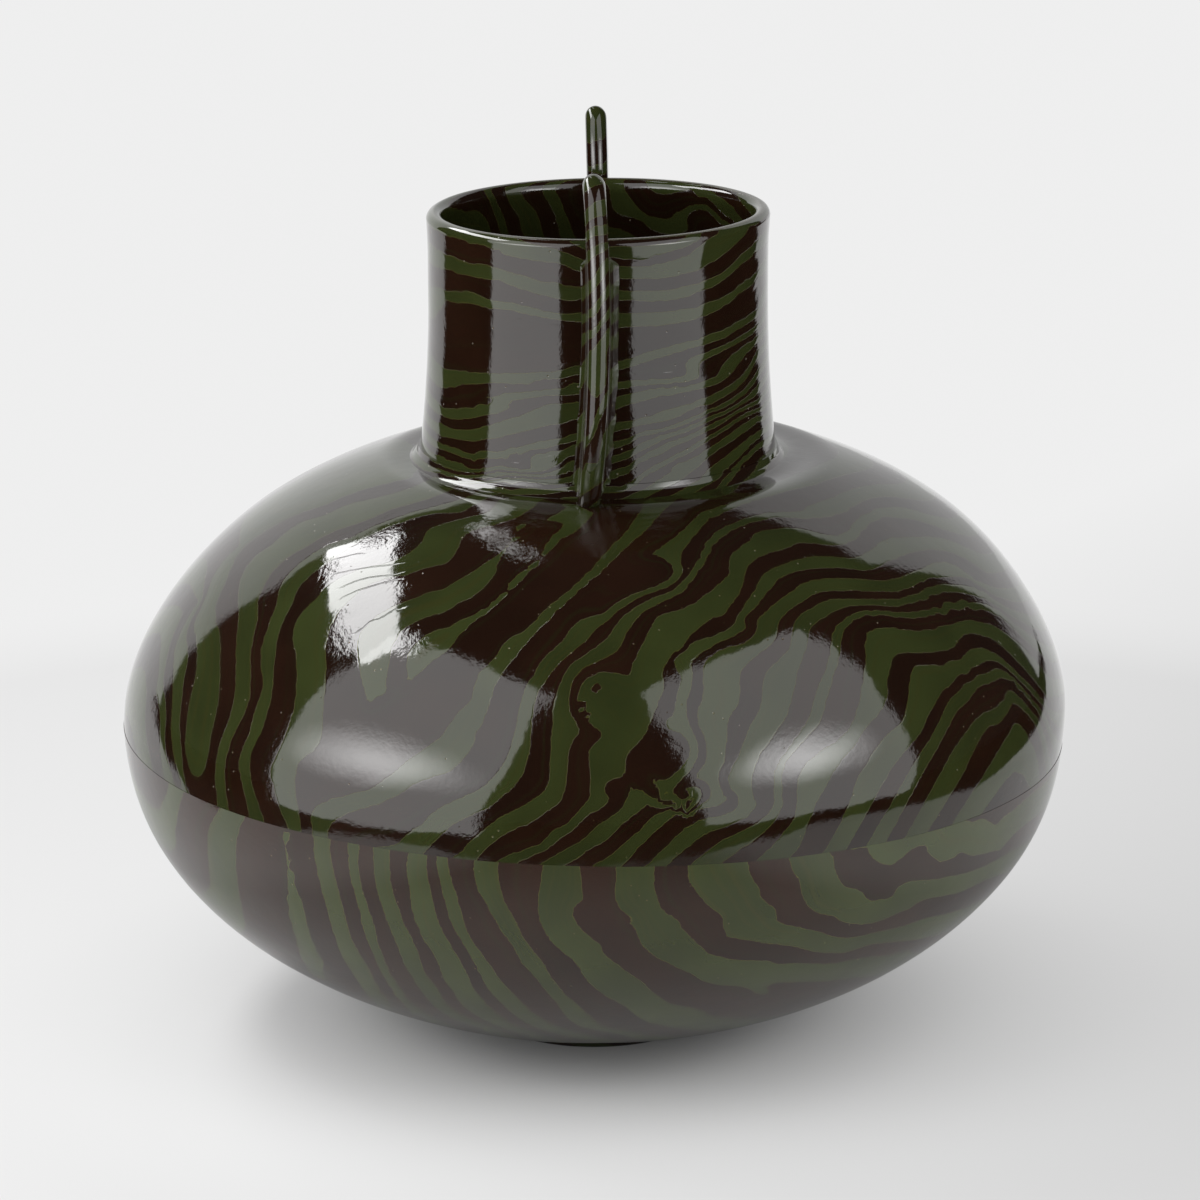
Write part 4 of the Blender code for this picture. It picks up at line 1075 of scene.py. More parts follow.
class Nodes:
    """Short ways to add nodes to a material, lamp or world."""

    def __init__(self, tree):
        self.tree = tree
        self.tree.nodes.clear()

    def add(self, kind, **settings):
        """A node with its settings, given as property names."""
        node = self.tree.nodes.new(kind)
        for name, value in settings.items():
            setattr(node, name, value)
        return node

    def link(self, source, target):
        """Join two sockets."""
        self.tree.links.new(source, target)

    def feed(self, socket, value):
        """Set a socket to a number or colour, or link it to another socket."""
        if isinstance(value, bpy.types.NodeSocket):
            self.link(value, socket)
        else:
            socket.default_value = value

    def math(self, operation, *values):
        """A Math node's result."""
        node = self.add("ShaderNodeMath", operation=operation)
        for socket, value in zip(node.inputs, values):
            self.feed(socket, value)
        return node.outputs[0]

    def product(self, first, *others):
        """Values multiplied together."""
        for value in others:
            first = self.math("MULTIPLY", first, value)
        return first

    def total(self, first, *others):
        """Values added up."""
        for value in others:
            first = self.math("ADD", first, value)
        return first

    def largest(self, first, *others):
        """The largest of several values."""
        for value in others:
            first = self.math("MAXIMUM", first, value)
        return first

    def mix(self, share, first, second):
        """A blend of two colours."""
        node = self.add("ShaderNodeMix", data_type="RGBA")
        self.feed(node.inputs["Factor"], share)
        self.feed(node.inputs["A"], first)
        self.feed(node.inputs["B"], second)
        return node.outputs["Result"]

    def mix_shaders(self, share, first, second):
        """A blend of two shaders."""
        node = self.add("ShaderNodeMixShader")
        for socket, source in zip(node.inputs, (share, first, second)):
            self.link(source, socket)
        return node.outputs[0]

    def noise(self, vector, scale, detail=2.0, roughness=0.5):
        """A noise texture's value, from about 0 to 1."""
        node = self.add("ShaderNodeTexNoise")
        self.feed(node.inputs["Vector"], vector)
        self.feed(node.inputs["Scale"], scale)
        self.feed(node.inputs["Detail"], detail)
        self.feed(node.inputs["Roughness"], roughness)
        return node.outputs["Fac"]

    def ramp(self, value, low, high, to_low=0.0, to_high=1.0):
        """A value carried smoothly from one range to another, and held at its ends."""
        node = self.add("ShaderNodeMapRange", interpolation_type="SMOOTHSTEP")
        self.feed(node.inputs["Value"], value)
        for name, number in (("From Min", low), ("From Max", high), ("To Min", to_low),
                             ("To Max", to_high)):
            self.feed(node.inputs[name], number)
        return node.outputs["Result"]

    def past(self, value, edge, softness):
        """0 under an edge and 1 over it, with a soft change."""
        return self.ramp(value, edge - softness, edge + softness)

    def under(self, value, edge, softness):
        """1 under an edge and 0 over it, with a soft change."""
        return self.ramp(value, edge - softness, edge + softness, 1.0, 0.0)

    def attribute(self, name):
        """A float attribute of the piece."""
        return self.add("ShaderNodeAttribute", attribute_name=name).outputs["Fac"]

    def split(self, vector):
        """The X, Y and Z of a vector."""
        node = self.add("ShaderNodeSeparateXYZ")
        self.link(vector, node.inputs[0])
        return node.outputs["X"], node.outputs["Y"], node.outputs["Z"]

    def finish_with(self, surface, kind="ShaderNodeOutputMaterial"):
        """Join a shader to the tree's output."""
        self.link(surface, self.add(kind).inputs["Surface"])


def colour(rgb, factor=1.0):
    """A colour with its alpha, made lighter or darker by a factor."""
    return (rgb[0] * factor, rgb[1] * factor, rgb[2] * factor, 1.0)


def grey(level):
    """A grey of a level, with its alpha."""
    return colour((level,) * 3)


def new_material(name):
    """A material, and the nodes that it is made with."""
    material = bpy.data.materials.new(name)
    material.use_nodes = True
    return material, Nodes(material.node_tree)


class Layering:
    """What a clay's colour and the glaze's relief are both made from, place by place."""

    def __init__(self, n, ragged):
        self.place = n.add("ShaderNodeTexCoord").outputs["Object"]
        self.layers = n.attribute("layers")
        self.width = n.attribute("layer_width")
        teeth = n.math("SUBTRACT", n.noise(self.place, *TEETH_NOISE), 0.5)
        self.tears = n.math("SUBTRACT", n.noise(self.place, *TEARS_NOISE), 0.5)
        wander_mm = n.total(n.product(teeth, TEETH_REACH * ragged),
                            n.product(self.tears, TEARS_REACH * ragged))
        self.value = n.total(self.layers, n.math("DIVIDE", wander_mm, self.width))
        self.green_share = n.math("GREATER_THAN",
                                  n.math("FLOORED_MODULO", self.value, 2.0), 1.0)
        part = n.math("FRACT", self.value)
        nearer = n.math("MINIMUM", part, n.math("SUBTRACT", 1.0, part))
        self.to_edge = n.product(nearer, self.width)
        self.specks = n.noise(self.place, *SPECK_NOISE)
        pits = n.add("ShaderNodeTexVoronoi", feature="F1")
        n.feed(pits.inputs["Vector"], self.place)
        n.feed(pits.inputs["Scale"], PIT_SCALE)
        self.pits = n.product(n.ramp(pits.outputs["Distance"], *PIT_RIM, 1.0, 0.0),
                              n.ramp(n.noise(self.place, *PIT_AREA_NOISE), *PIT_AREAS))


def clay_colour(n, layering, greener, browner):
    """The colour of the clay seen through the glaze, with painted shade deep inside the neck."""
    look = finish()
    patches = n.ramp(n.noise(layering.place, *PATCH_NOISE), *PATCH_RANGE)
    streaks = n.add("ShaderNodeTexNoise", noise_dimensions="1D")
    n.feed(streaks.inputs["W"], layering.value)
    n.feed(streaks.inputs["Scale"], STREAK_SCALE)
    n.feed(streaks.inputs["Detail"], STREAK_DETAIL)
    streak = streaks.outputs["Fac"]
    green = n.mix(patches, *(colour(look.green, level * greener) for level in GREEN_PATCHES))
    green = n.mix(n.ramp(streak, *GREEN_STREAKS), green,
                  colour(look.edge, GREEN_STREAK_LEVEL * greener))
    brown = n.mix(patches, *(colour(look.brown, level * browner) for level in BROWN_PATCHES))
    brown = n.mix(n.ramp(streak, *BROWN_STREAKS), brown,
                  colour(look.green, BROWN_STREAK_LEVEL * browner))
    clay = n.mix(layering.green_share, brown, green)
    line = n.product(
        n.ramp(layering.to_edge, EDGE_CORE * look.edge_width, look.edge_width, 1.0, 0.0),
        n.math("MULTIPLY_ADD", layering.green_share, LINE_ADDED_ON_GREEN, LINE_ON_BROWN))
    clay = n.mix(line, clay, colour(look.edge, greener))
    clay = n.mix(n.ramp(layering.specks, *SPECKS), clay,
                 colour(look.edge, SPECK_LEVEL * greener))
    # Painted shade: the clay darkened deep inside the neck.
    clay = n.mix(n.product(n.attribute("shade"), PAINTED_SHADE_SHARE), clay, colour(PAINTED_SHADE_COLOUR))
    return n.mix(n.product(layering.pits, PIT_SHARE), clay, colour(PIT_COLOUR))


def glaze_relief(n, layering, bulging):
    """The glaze's normal: layers, grain, ripples, pinholes and cracks, in millimetres."""
    place, green_share = layering.place, layering.green_share
    bulge = n.product(n.math("SINE", n.product(layering.layers, math.pi)),
                      n.math("MINIMUM", layering.width, WIDEST_BULGE))
    count = n.total(n.attribute("cracks"), n.product(layering.tears, CRACK_WANDER))
    off = n.math("ABSOLUTE", n.math("SUBTRACT", count, n.math("ROUND", count)))
    crack = n.ramp(n.product(off, n.attribute("crack_width")), *CRACK_SIDES, 1.0, 0.0)
    height = n.total(
        n.product(n.ramp(layering.to_edge, 0.0, GROOVE_WIDTH), GROOVE_DEPTH),
        n.product(bulge, -bulging),
        n.product(n.noise(place, *GRAIN_NOISE),
                  n.math("MULTIPLY_ADD", green_share, GRAIN_ADDED_ON_GREEN, GRAIN_ON_BROWN)),
        n.product(n.noise(place, *DUST_NOISE),
                  n.math("MULTIPLY_ADD", green_share, DUST_ADDED_ON_GREEN, DUST_ON_BROWN)),
        n.product(n.noise(place, *CRINKLE_NOISE), n.attribute("crinkle"), CRINKLE_DEPTH),
        n.product(n.noise(place, *RIPPLE_NOISE), RIPPLE_DEPTH),
        n.product(layering.specks, SPECK_DEPTH),
        n.product(layering.pits, -PIT_DEPTH),
        n.product(crack, n.attribute("cracked"), -CRACK_DEPTH))
    bump = n.add("ShaderNodeBump")
    n.feed(bump.inputs["Strength"], 1.0)
    n.feed(bump.inputs["Distance"], MM)
    n.feed(bump.inputs["Height"], height)
    return bump.outputs["Normal"]


def marbled_clay(name, ragged=1.0, greener=1.0, browner=1.0, bulging=LAYER_BULGE):
    """Green and brown clay in layers under a clear glossy glaze.

    Ragged scales the layers' uneven edges, greener and browner how light each clay is, and
    bulging is the layers' relief as a share of their width.
    """
    material, n = new_material(name)
    layering = Layering(n, ragged)
    glaze = finish().glaze_roughness
    roughness = n.ramp(layering.specks, *ROUGHNESS_RANGE, glaze, glaze + ROUGHNESS_ADDED)
    shader = n.add("ShaderNodeBsdfPrincipled")
    n.feed(shader.inputs["Base Color"], clay_colour(n, layering, greener, browner))
    n.feed(shader.inputs["Roughness"],
           n.math("MULTIPLY_ADD", n.attribute("matt"), MATT_ROUGHNESS, roughness))
    n.feed(shader.inputs["IOR"], GLAZE_IOR)
    n.feed(shader.inputs["Normal"], glaze_relief(n, layering, bulging))
    n.finish_with(shader.outputs["BSDF"])
    return material


class VASE_OT_dome(bpy.types.Operator):
    """Make the dome over the seam, marbled as in the photograph"""
    bl_idname = "vase.dome"
    bl_label = "Dome"

    def execute(self, context):
        mouth = NECK_FOOT_RADIUS - NECK_WALL
        outside = dome_outline(0.0, mouth, CROWN_RINGS)
        inside = dome_outline(shape().belly_wall, mouth, INSIDE_RINGS)
        mesh = spun(outside + inside[::-1], True, ROUND_STEPS)
        slope_seam(mesh, 1)
        lean_dome(mesh)
        make_uneven(mesh, Vector((0, 0, EQUATOR)), 0)
        dome = set_down("dome", mesh, ["upper_shell"])
        tree = tree_of(dome)
        write_layers(dome, field_all_round(*places_on(DOME_LINES, tree), *DOME_FAR_SIDE).at)
        write_layers(dome, LayerField(*places_on(CRACK_LINES, tree)).at,
                     ("cracks", "crack_width"))
        for name, spots in DOME_SPOTS.items():
            write_spots(dome.data, name, tree, spots)
        dome.data.materials.append(marbled_clay("dome_clay"))
        return {"FINISHED"}


class VASE_OT_bowl(bpy.types.Operator):
    """Make the bowl under the seam"""
    bl_idname = "vase.bowl"
    bl_label = "Bowl"

    def execute(self, context):
        outside = bowl_outline(0.0, BOWL_RINGS)
        inside = bowl_outline(shape().belly_wall, INSIDE_RINGS)
        mesh = spun(outside[::-1] + inside, False, ROUND_STEPS)
        slope_seam(mesh, -1)
        make_uneven(mesh, Vector((0, 0, EQUATOR)), 0)
        bowl = set_down("bowl", mesh, ["lower_shell"])
        places, values = places_on(BOWL_LINES, tree_of(bowl))
        write_layers(bowl, field_all_round(places, values, *BOWL_FAR_SIDE).at)
        bowl.data.materials.append(marbled_clay("bowl_clay", **BOWL_CLAY))
        return {"FINISHED"}


def neck_ends():
    """Heights of the neck's foot, sunk in the shoulder, and of the start of its lip's curve."""
    shoulder = shoulder_height()
    return shoulder - NECK_SUNK, shoulder + NECK_HEIGHT - LIP_THICKNESS / 2


def neck_heights():
    """Heights of the neck's rings, from its foot up to the lip's curve."""
    low, high = neck_ends()
    return [low + (high - low) * step / NECK_RINGS for step in range(NECK_RINGS + 1)]


def neck_outline():
    """The neck's outline: up outside, over the round lip and down inside."""
    low, high = neck_ends()
    lip = LIP_THICKNESS / 2
    crest_radius = shape().lip_radius - lip
    points = [(neck_radius(height), height) for height in neck_heights()]
    for step in range(1, 2 * LIP_RINGS):
        turn = math.pi / 2 * step / LIP_RINGS
        points.append((crest_radius + lip * math.cos(turn), high + lip * math.sin(turn)))
    for height in neck_heights()[::-1]:
        share = (high - height) / (high - low)
        wall = LIP_THICKNESS + (NECK_WALL - LIP_THICKNESS) * share
        points.append((neck_radius(height) - wall, height))
    return points


def inside_share(places):
    """How far through the neck's wall places are, from 0 outside to 1 inside."""
    lip = LIP_THICKNESS / 2
    middles = [neck_radius(height) - lip for height in neck_heights()]
    radius = np.hypot(places[:, 0] - NECK_SHIFT, places[:, 1])
    split = np.interp(places[:, 2], neck_heights(), middles)
    return np.clip((split - radius) / lip + 0.5, 0, 1)


def root_coil_outline():
    """The outline of the coil round the neck's foot: sunk below, hollow outside."""
    shoulder = shoulder_height()
    hollow_side = []
    for step in range(ROOT_RINGS + 1):
        share = step / ROOT_RINGS
        hollow = ROOT_HOLLOW * math.sin(math.pi * share)
        height = shoulder + ROOT_RISE * share * (1 - hollow) + ROOT_EDGE * smooth(3 * share)
        radius = neck_radius(height) + ROOT_EDGE + ROOT_SPREAD * (1 - share) * (1 - hollow)
        hollow_side.append((radius, height))
    under = shoulder - ROOT_SUNK
    rim = hollow_side[0][0] + ROOT_EDGE
    inner, top = hollow_side[-1][0] - ROOT_DEPTH, hollow_side[-1][1]
    return ([(rim, under), (rim, crown_point(share_where(rim, crown_point))[1])] + hollow_side
            + [(inner, top), (inner, under)])


class VASE_OT_neck(bpy.types.Operator):
    """Make the waisted neck with its round lip, and the coil worked round its foot"""
    bl_idname = "vase.neck"
    bl_label = "Neck"

    def execute(self, context):
        shoulder = shoulder_height()
        mesh = spun(neck_outline(), True, NECK_STEPS_ROUND)
        for vert in mesh.verts:
            share = max((vert.co.z - shoulder) / NECK_HEIGHT, 0.0)
            vert.co.z += RIM_RISE * share * vert.co.x / shape().lip_radius
        bmesh.ops.translate(mesh, verts=mesh.verts, vec=(NECK_SHIFT, 0, 0))
        make_uneven(mesh, Vector((NECK_SHIFT, 0, shoulder)), 1)
        neck = set_down("neck_tube", mesh, ["neck"])
        tree = tree_of(neck)
        field = field_all_round(*places_on(NECK_LINES, tree), *NECK_FAR_SIDE)
        mouth, mouth_values = places_on(MOUTH_LINES, tree)
        inner = LayerField(np.vstack([mouth, mirrored(mouth)]),
                           np.append(mouth_values, mouth_values))

        def value_at(places):
            share = inside_share(places)
            return field.at(places) * (1 - share) + inner.at(places) * share

        write_layers(neck, value_at)
        places = vertex_places(neck.data)
        # Painted shade on the neck's inner wall, from just under the lip downwards.
        deep = np.clip((neck_ends()[1] - places[:, 2]) / (LIP_THICKNESS / 2), 0, 1)
        write_attribute(neck.data, "shade", inside_share(places) * deep)
        clay = marbled_clay("neck_clay", **NECK_CLAY)
        neck.data.materials.append(clay)

        mesh = spun(root_coil_outline(), True, NECK_STEPS_ROUND)
        bmesh.ops.translate(mesh, verts=mesh.verts, vec=(NECK_SHIFT, 0, 0))
        coil = set_down("root_coil", mesh, ["neck_root_coil"])
        write_layers(coil, field.at)
        coil.data.materials.append(clay)
        return {"FINISHED"}


def fin_span(height):
    """Inner and outer edge of a fin at a height, as distances from the neck's axis."""
    shoulder = shoulder_height()
    widest = shoulder + FIN_REACH_HEIGHT
    if height < widest:
        low = (widest - height) / FIN_REACH_HEIGHT
        outer = FIN_REACH - FIN_TUCK * low ** 2 - FIN_FOOT_TUCK * low ** FIN_FOOT_POWER
    else:
        reach = quarter((height - widest) / (FIN_TOP - widest))
        outer = FIN_APEX_RADIUS + (FIN_REACH - FIN_APEX_RADIUS) * reach
    free_from = shoulder + NECK_HEIGHT - FIN_INNER_DROP
    keyed = NECK_WAIST_RADIUS - FIN_KEY
    if height < free_from:
        return keyed, outer
    lean_in = quarter((height - free_from) / (FIN_TOP - free_from))
    free = FIN_APEX_RADIUS - (FIN_APEX_RADIUS - FIN_INNER_RADIUS) * lean_in
    joined = smooth((height - free_from) / (FIN_INNER_DROP - LIP_THICKNESS / 2))
    return keyed + (free - keyed) * joined, outer


def free_outline():
    """The outline of a fin's free edge, from its foot over its top to the lip."""
    shoulder = shoulder_height()
    low = shoulder - FIN_SINK
    heights_up = [low + (FIN_TOP - low) * math.sin(math.pi / 2 * step / OUTLINE_STEPS)
                  for step in range(OUTLINE_STEPS + 1)]
    free_from = shoulder + NECK_HEIGHT - FIN_INNER_DROP / 2
    outer = [(fin_span(height)[1], height) for height in heights_up]
    inner = [(fin_span(height)[0], height) for height in heights_up if height > free_from]
    return np.array(outer + inner[::-1])


def distance_to(outline, point):
    """Distance of a point from an open outline."""
    start, end = outline[:-1], outline[1:]
    along = end - start
    length = np.maximum((along ** 2).sum(1), MERGE_DISTANCE ** 2)
    share = np.clip(((point - start) * along).sum(1) / length, 0, 1)
    return float(np.linalg.norm(start + along * share[:, None] - point, axis=1).min())


def fin_mesh():
    """A fin that stands along +X from the axis: a grid bent to its outline, swelled, mirrored."""
    outline = free_outline()
    low = shoulder_height() - FIN_SINK
    half = shape().fin_thickness / 2
    mesh = bmesh.new()
    bmesh.ops.create_grid(mesh, x_segments=FIN_COLUMNS, y_segments=FIN_ROWS, size=1.0)
    for vert in mesh.verts:
        height = low + (FIN_TOP - low) * math.sin(math.pi / 2 * (vert.co.y + 1) / 2)
        inner, outer = fin_span(height)
        share = (1 + math.sin(math.pi / 2 * vert.co.x)) / 2
        radius = inner + (outer - inner) * share
        depth = 0.0
        if not vert.is_boundary:
            away = distance_to(outline, np.array((radius, height)))
            depth = quarter(1 - min(away / FIN_ROUNDING, 1.0))
        vert.co = Vector((radius, -half * depth, height))
    bmesh.ops.scale(mesh, verts=doubled(mesh), vec=(1, -1, 1))
    bmesh.ops.remove_doubles(mesh, verts=mesh.verts, dist=FIN_MERGE_DISTANCE)
    bmesh.ops.recalc_face_normals(mesh, faces=mesh.faces)
    return mesh


def fill_corners(mesh, crinkled):
    """Fill the corners between a fin and the neck with smoothed slip, on both sides.

    The fin still stands along +X here. The slip reaches out unlike far at -Y and +Y, and is
    wavy at +Y where it is crinkled.
    """
    half = shape().fin_thickness / 2
    top = shoulder_height() + NECK_HEIGHT - LIP_THICKNESS
    for vert in mesh.verts:
        wall = neck_radius(vert.co.z) + SLIP_LIFT
        share = min(max((wall + SLIP_DEPTH - vert.co.x) / SLIP_DEPTH, 0.0), 1.0)
        under_lip = smooth((top - vert.co.z) / SLIP_FADE)
        if share <= 0 or under_lip <= 0:
            continue
        out = (1 - quarter(share)) * under_lip * abs(vert.co.y) / half
        if crinkled and vert.co.y > 0:
            out *= 1 + SLIP_WAVES * wander(vert.co, SLIP_WAVE_SIZE, SLIP_WAVE_TURN)
        reach = SLIP_REACHES[0] if vert.co.y < 0 else SLIP_REACHES[1]
        side = math.copysign(abs(vert.co.y) + reach * out, vert.co.y)
        vert.co.x -= share * (wall - math.sqrt(wall ** 2 - side ** 2))
        vert.co.y = side


def bend_fin(mesh, shift, lean, bow):
    """Shift a fin sideways, lean it to the right at its top and bow its ends to the left."""
    shoulder = shoulder_height()
    for vert in mesh.verts:
        share = 2 * (vert.co.z - shoulder) / (FIN_TOP - shoulder) - 1
        vert.co.x += shift + lean * share - bow * share ** 2


def make_fin(name, node, quarter_turn, turn, bends, crinkled):
    """One fin, joined to the neck with slip, turned to its side and set down."""
    mesh = fin_mesh()
    fill_corners(mesh, crinkled)
    bmesh.ops.rotate(mesh, verts=mesh.verts, cent=(NECK_WAIST_RADIUS, 0, 0),
                     matrix=Matrix.Rotation(-turn, 3, "Z"))
    bmesh.ops.rotate(mesh, verts=mesh.verts, cent=(0, 0, 0),
                     matrix=Matrix.Rotation(quarter_turn, 3, "Z"))
    bend_fin(mesh, **bends)
    bmesh.ops.translate(mesh, verts=mesh.verts, vec=(NECK_SHIFT, 0, 0))
    return set_down(name, mesh, [node])


def slip_share(places):
    """How deep in the slip at a fin's right side places are, from 0 to 1."""
    wall = np.array([neck_radius(height) for height in places[:, 2]])
    near = (wall + SLIP_DEPTH - np.abs(places[:, 1])) / SLIP_DEPTH
    right = places[:, 0] > NECK_SHIFT + shape().fin_thickness / 3
    return np.clip(near, 0, 1) * right


class VASE_OT_fins(bpy.types.Operator):
    """Make the two upright fins, before and behind the neck"""
    bl_idname = "vase.fins"
    bl_label = "Fins"

    def execute(self, context):
        clay = marbled_clay("fin_clay", **FIN_CLAY)
        before = make_fin("fin_before", "front_fin", -math.pi / 2, 0.0, FRONT_FIN, True)
        places, values = places_on(FIN_LINES, tree_of(before))
        write_layers(before, LayerField(places, values).at)
        slip = slip_share(vertex_places(before.data))
        write_attribute(before.data, "crinkle", slip)
        write_attribute(before.data, "matt", slip)

        behind = make_fin("fin_behind", "rear_fin", math.pi / 2, REAR_FIN_TURN, REAR_FIN, False)
        top, top_values = places_on(REAR_FIN_LINES, tree_of(behind))
        low = places[:, 2] < shoulder_height() + NECK_HEIGHT - FIN_INNER_DROP
        write_layers(behind, LayerField(
            np.vstack([top, mirrored(places)[low]]),
            np.append(top_values, values[low] + REAR_FIN_LAYERS_ON)).at)

        for fin in (before, behind):
            fin.data.materials.append(clay)
        return {"FINISHED"}


def foot_outline():
    """The foot ring's outline: rounded below, and fitted to the bowl above."""
    inner_radius = FOOT_RADIUS - FOOT_WIDTH
    turns = [math.pi / 2 * step / FOOT_ROUNDING_STEPS for step in range(FOOT_ROUNDING_STEPS + 1)]
    points = [(FOOT_RADIUS - FOOT_ROUNDING * (1 - math.sin(turn)),
               FOOT_ROUNDING * (1 - math.cos(turn))) for turn in turns]
    for step in range(FOOT_TOP_STEPS + 1):
        radius = FOOT_RADIUS - FOOT_WIDTH * step / FOOT_TOP_STEPS
        points.append((radius, bowl_point(share_where(radius, bowl_point))[1] + FOOT_KEY))
    return points + [(inner_radius + FOOT_ROUNDING * (1 - math.sin(turn)),
                      FOOT_ROUNDING * (1 - math.cos(turn))) for turn in turns[::-1]]


def seam_coil_mesh():
    """The coil inside the seam, which follows the seam's slope and the dome's lean."""
    half = SEAM_COIL_HEIGHT / 2
    outer = [(0.0, half - SEAM_COIL_HEIGHT * step / SEAM_COIL_STEPS)
             for step in range(SEAM_COIL_STEPS + 1)]
    inner = [(SEAM_COIL_EDGE + SEAM_COIL_DEPTH * math.cos(math.pi / 2 * place / half), place)
             for _, place in outer[::-1]]
    points = [(shape().belly_radius - depth, place) for depth, place in outer + inner]
    mesh = spun(points, True, HIDDEN_STEPS_ROUND)
    for vert in mesh.verts:
        depth = shape().belly_radius - math.hypot(vert.co.x, vert.co.y)
        turn = math.atan2(vert.co.y, vert.co.x)
        height = SEAM + vert.co.z - SEAM_DROP * math.cos(turn)
        radius = belly_width(height, shape().belly_wall) - depth
        shift = lean(height) if vert.co.z > 0 else 0.0
        vert.co = Vector((radius * math.cos(turn) + shift, radius * math.sin(turn), height))
    return mesh


def spiral_layers(places):
    """Layers that wind upwards round the vase, for the pieces that are hardly seen."""
    turns = np.arctan2(places[:, 1], places[:, 0])
    return places[:, 2] / SPIRAL_LAYER_HEIGHT + turns * SPIRAL_STEEPNESS


class VASE_OT_hidden(bpy.types.Operator):
    """Make the ring that the vase stands on and the coil inside the seam"""
    bl_idname = "vase.hidden"
    bl_label = "Foot and seam coil"

    def execute(self, context):
        mesh = spun(foot_outline(), True, HIDDEN_STEPS_ROUND)
        foot = set_down("foot", mesh, ["foot_ring"])
        coil = set_down("seam_coil", seam_coil_mesh(), ["inner_seam_coil"])
        for piece in (foot, coil):
            write_layers(piece, spiral_layers)
            piece.data.materials.append(marbled_clay(piece.name + "_clay", **HIDDEN_CLAY))
        return {"FINISHED"}


# Studio. Levels are of light, where 1 is white, and places are in metres from the vase's middle.
PAPER_LEVEL = 0.86
SOFT_LIGHT = 0.38
ROOM_COLOUR = (0.02, 0.02, 0.022)
DARK_FLOOR = 0.02
FLOOR_SIZE = 8.0
AIM = Vector((0.0, 0.0, 0.15))

# The floor far from the vase, painted with the lamps' light: its level, its fall to the right, most
# of which reflections lose, and its rise to the back.
FLOOR_ALBEDO = 0.74
FLOOR_LEVEL = 0.765
FLOOR_FALL_RIGHT = -0.38
FALL_LOST_REFLECTED = 0.7
FLOOR_RISE_BACK = 0.25
FLOOR_LOWEST = 0.6
# Distances over which its own light takes over from the shadowed paper: seen far and near, and
# in reflections.
FAR_FLOOR = (0.24, 0.6)
NEAR_FLOOR = (0.03, 0.25, 0.0, 0.8)
FAR_FLOOR_REFLECTED = (0.2, 0.42)

# How much brighter the sweep and darker the paper are in reflections than to the eye, and the
# ranges over which the floor brightens there: towards the vase, beside it and behind it.
REFLECTED_LEVEL = 1.16
REFLECTED_FLOOR = 0.92
BRIGHTER_BEFORE = (-0.42, -0.02, 0.3, 0.8)
BRIGHTER_BESIDE = (0.05, 0.26)
BRIGHTER_BEHIND = (0.0, 0.25)

# Edges of the paper on the floor, which widens behind the vase, and of the sweep behind it, as
# slopes of the direction in which it is seen. The sweep is dimmer over part of its width.
PAPER_LEFT = -0.42
PAPER_RIGHT = 0.51
PAPER_FRONT = -0.41
PAPER_SOFTNESS = 0.01
WIDENING_LEFT = 0.87
WIDENING_RIGHT = 0.5
SWEEP_LEFT = -1.05
SWEEP_RIGHT = 0.9
SWEEP_SOFTNESS = 0.02
SWEEP_TOP = 0.98
SWEEP_TOP_SOFTNESS = 0.03
SWEEP_TILT = 0.17
LEAST_DEPTH = 0.001
DIMMER_FROM = (-0.15, 0.05, 0.0, 0.3)
DIMMER_TO = (0.2, 0.7, 1.0, 0.3)

# Lamps: turn to the right from the camera's side, rise, distance, place across and up on the
# lamp's own plane, width, height, roll, and brightness. Angles are in degrees, lengths in metres.
LAMPS = {
    "left_softbox": (-50, 15, 0.6, 0.02, 0.115, 0.58, 0.83, 0, 2.0),
    "right_softbox": (50, 15, 0.6, -0.04, 0.14, 0.58, 0.80, 0, 1.6),
    "left_strip": (-108, 47, 0.6, 0.02, 0.02, 0.50, 0.125, 6, 10.0),
    "rear_lamp": (-162, 55, 0.6, 0.067, 0.115, 0.04, 0.20, 0, 3.2),
}
# The lamp head behind each softbox's cloth: its place on the cloth, its half sizes as shares of
# the cloth's, and how much brighter than the cloth it is.
LAMP_HEADS = {
    "left_softbox": ((0.48, 0.40), (0.50, 0.17), 3.9),
    "right_softbox": ((0.50, 0.37), (0.38, 0.17), 5.0),
}


def lamp(name, turn, rise, distance, across, up, width, height, roll, strength):
    """A soft rectangular lamp that faces the vase."""
    data = bpy.data.lights.new(name, "AREA")
    data.shape = "RECTANGLE"
    data.size = width
    data.size_y = height
    data.energy = strength * math.pi * width * height
    light = bpy.data.objects.new(name, data)
    bpy.context.scene.collection.objects.link(light)
    flat = math.cos(math.radians(rise))
    away = Vector((flat * math.sin(math.radians(turn)), -flat * math.cos(math.radians(turn)),
                   math.sin(math.radians(rise))))
    facing = (-away).to_track_quat("-Z", "Y").to_matrix()
    light.location = AIM + away * distance + facing @ Vector((across, up, 0.0))
    facing = facing @ Matrix.Rotation(math.radians(roll), 3, "Z")
    light.rotation_euler = facing.to_euler()
    light.visible_camera = False
    if name in LAMP_HEADS:
        lamp_head(data, *LAMP_HEADS[name])


def lamp_head(data, place, half, peak):
    """Let a lamp's cloth glow round the head behind it."""
    data.use_nodes = True
    n = Nodes(data.node_tree)
    scaled = n.add("ShaderNodeVectorMath", operation="DIVIDE")
    n.link(n.add("ShaderNodeNewGeometry").outputs["Parametric"], scaled.inputs[0])
    n.feed(scaled.inputs[1], (half[0], half[1], 1.0))
    apart = n.add("ShaderNodeVectorMath", operation="DISTANCE")
    n.link(scaled.outputs[0], apart.inputs[0])
    n.feed(apart.inputs[1], (place[0] / half[0], place[1] / half[1], 0.0))
    emission = n.add("ShaderNodeEmission")
    n.link(n.ramp(apart.outputs["Value"], 0.0, 1.0, peak, 1.0), emission.inputs["Strength"])
    n.finish_with(emission.outputs["Emission"], "ShaderNodeOutputLight")


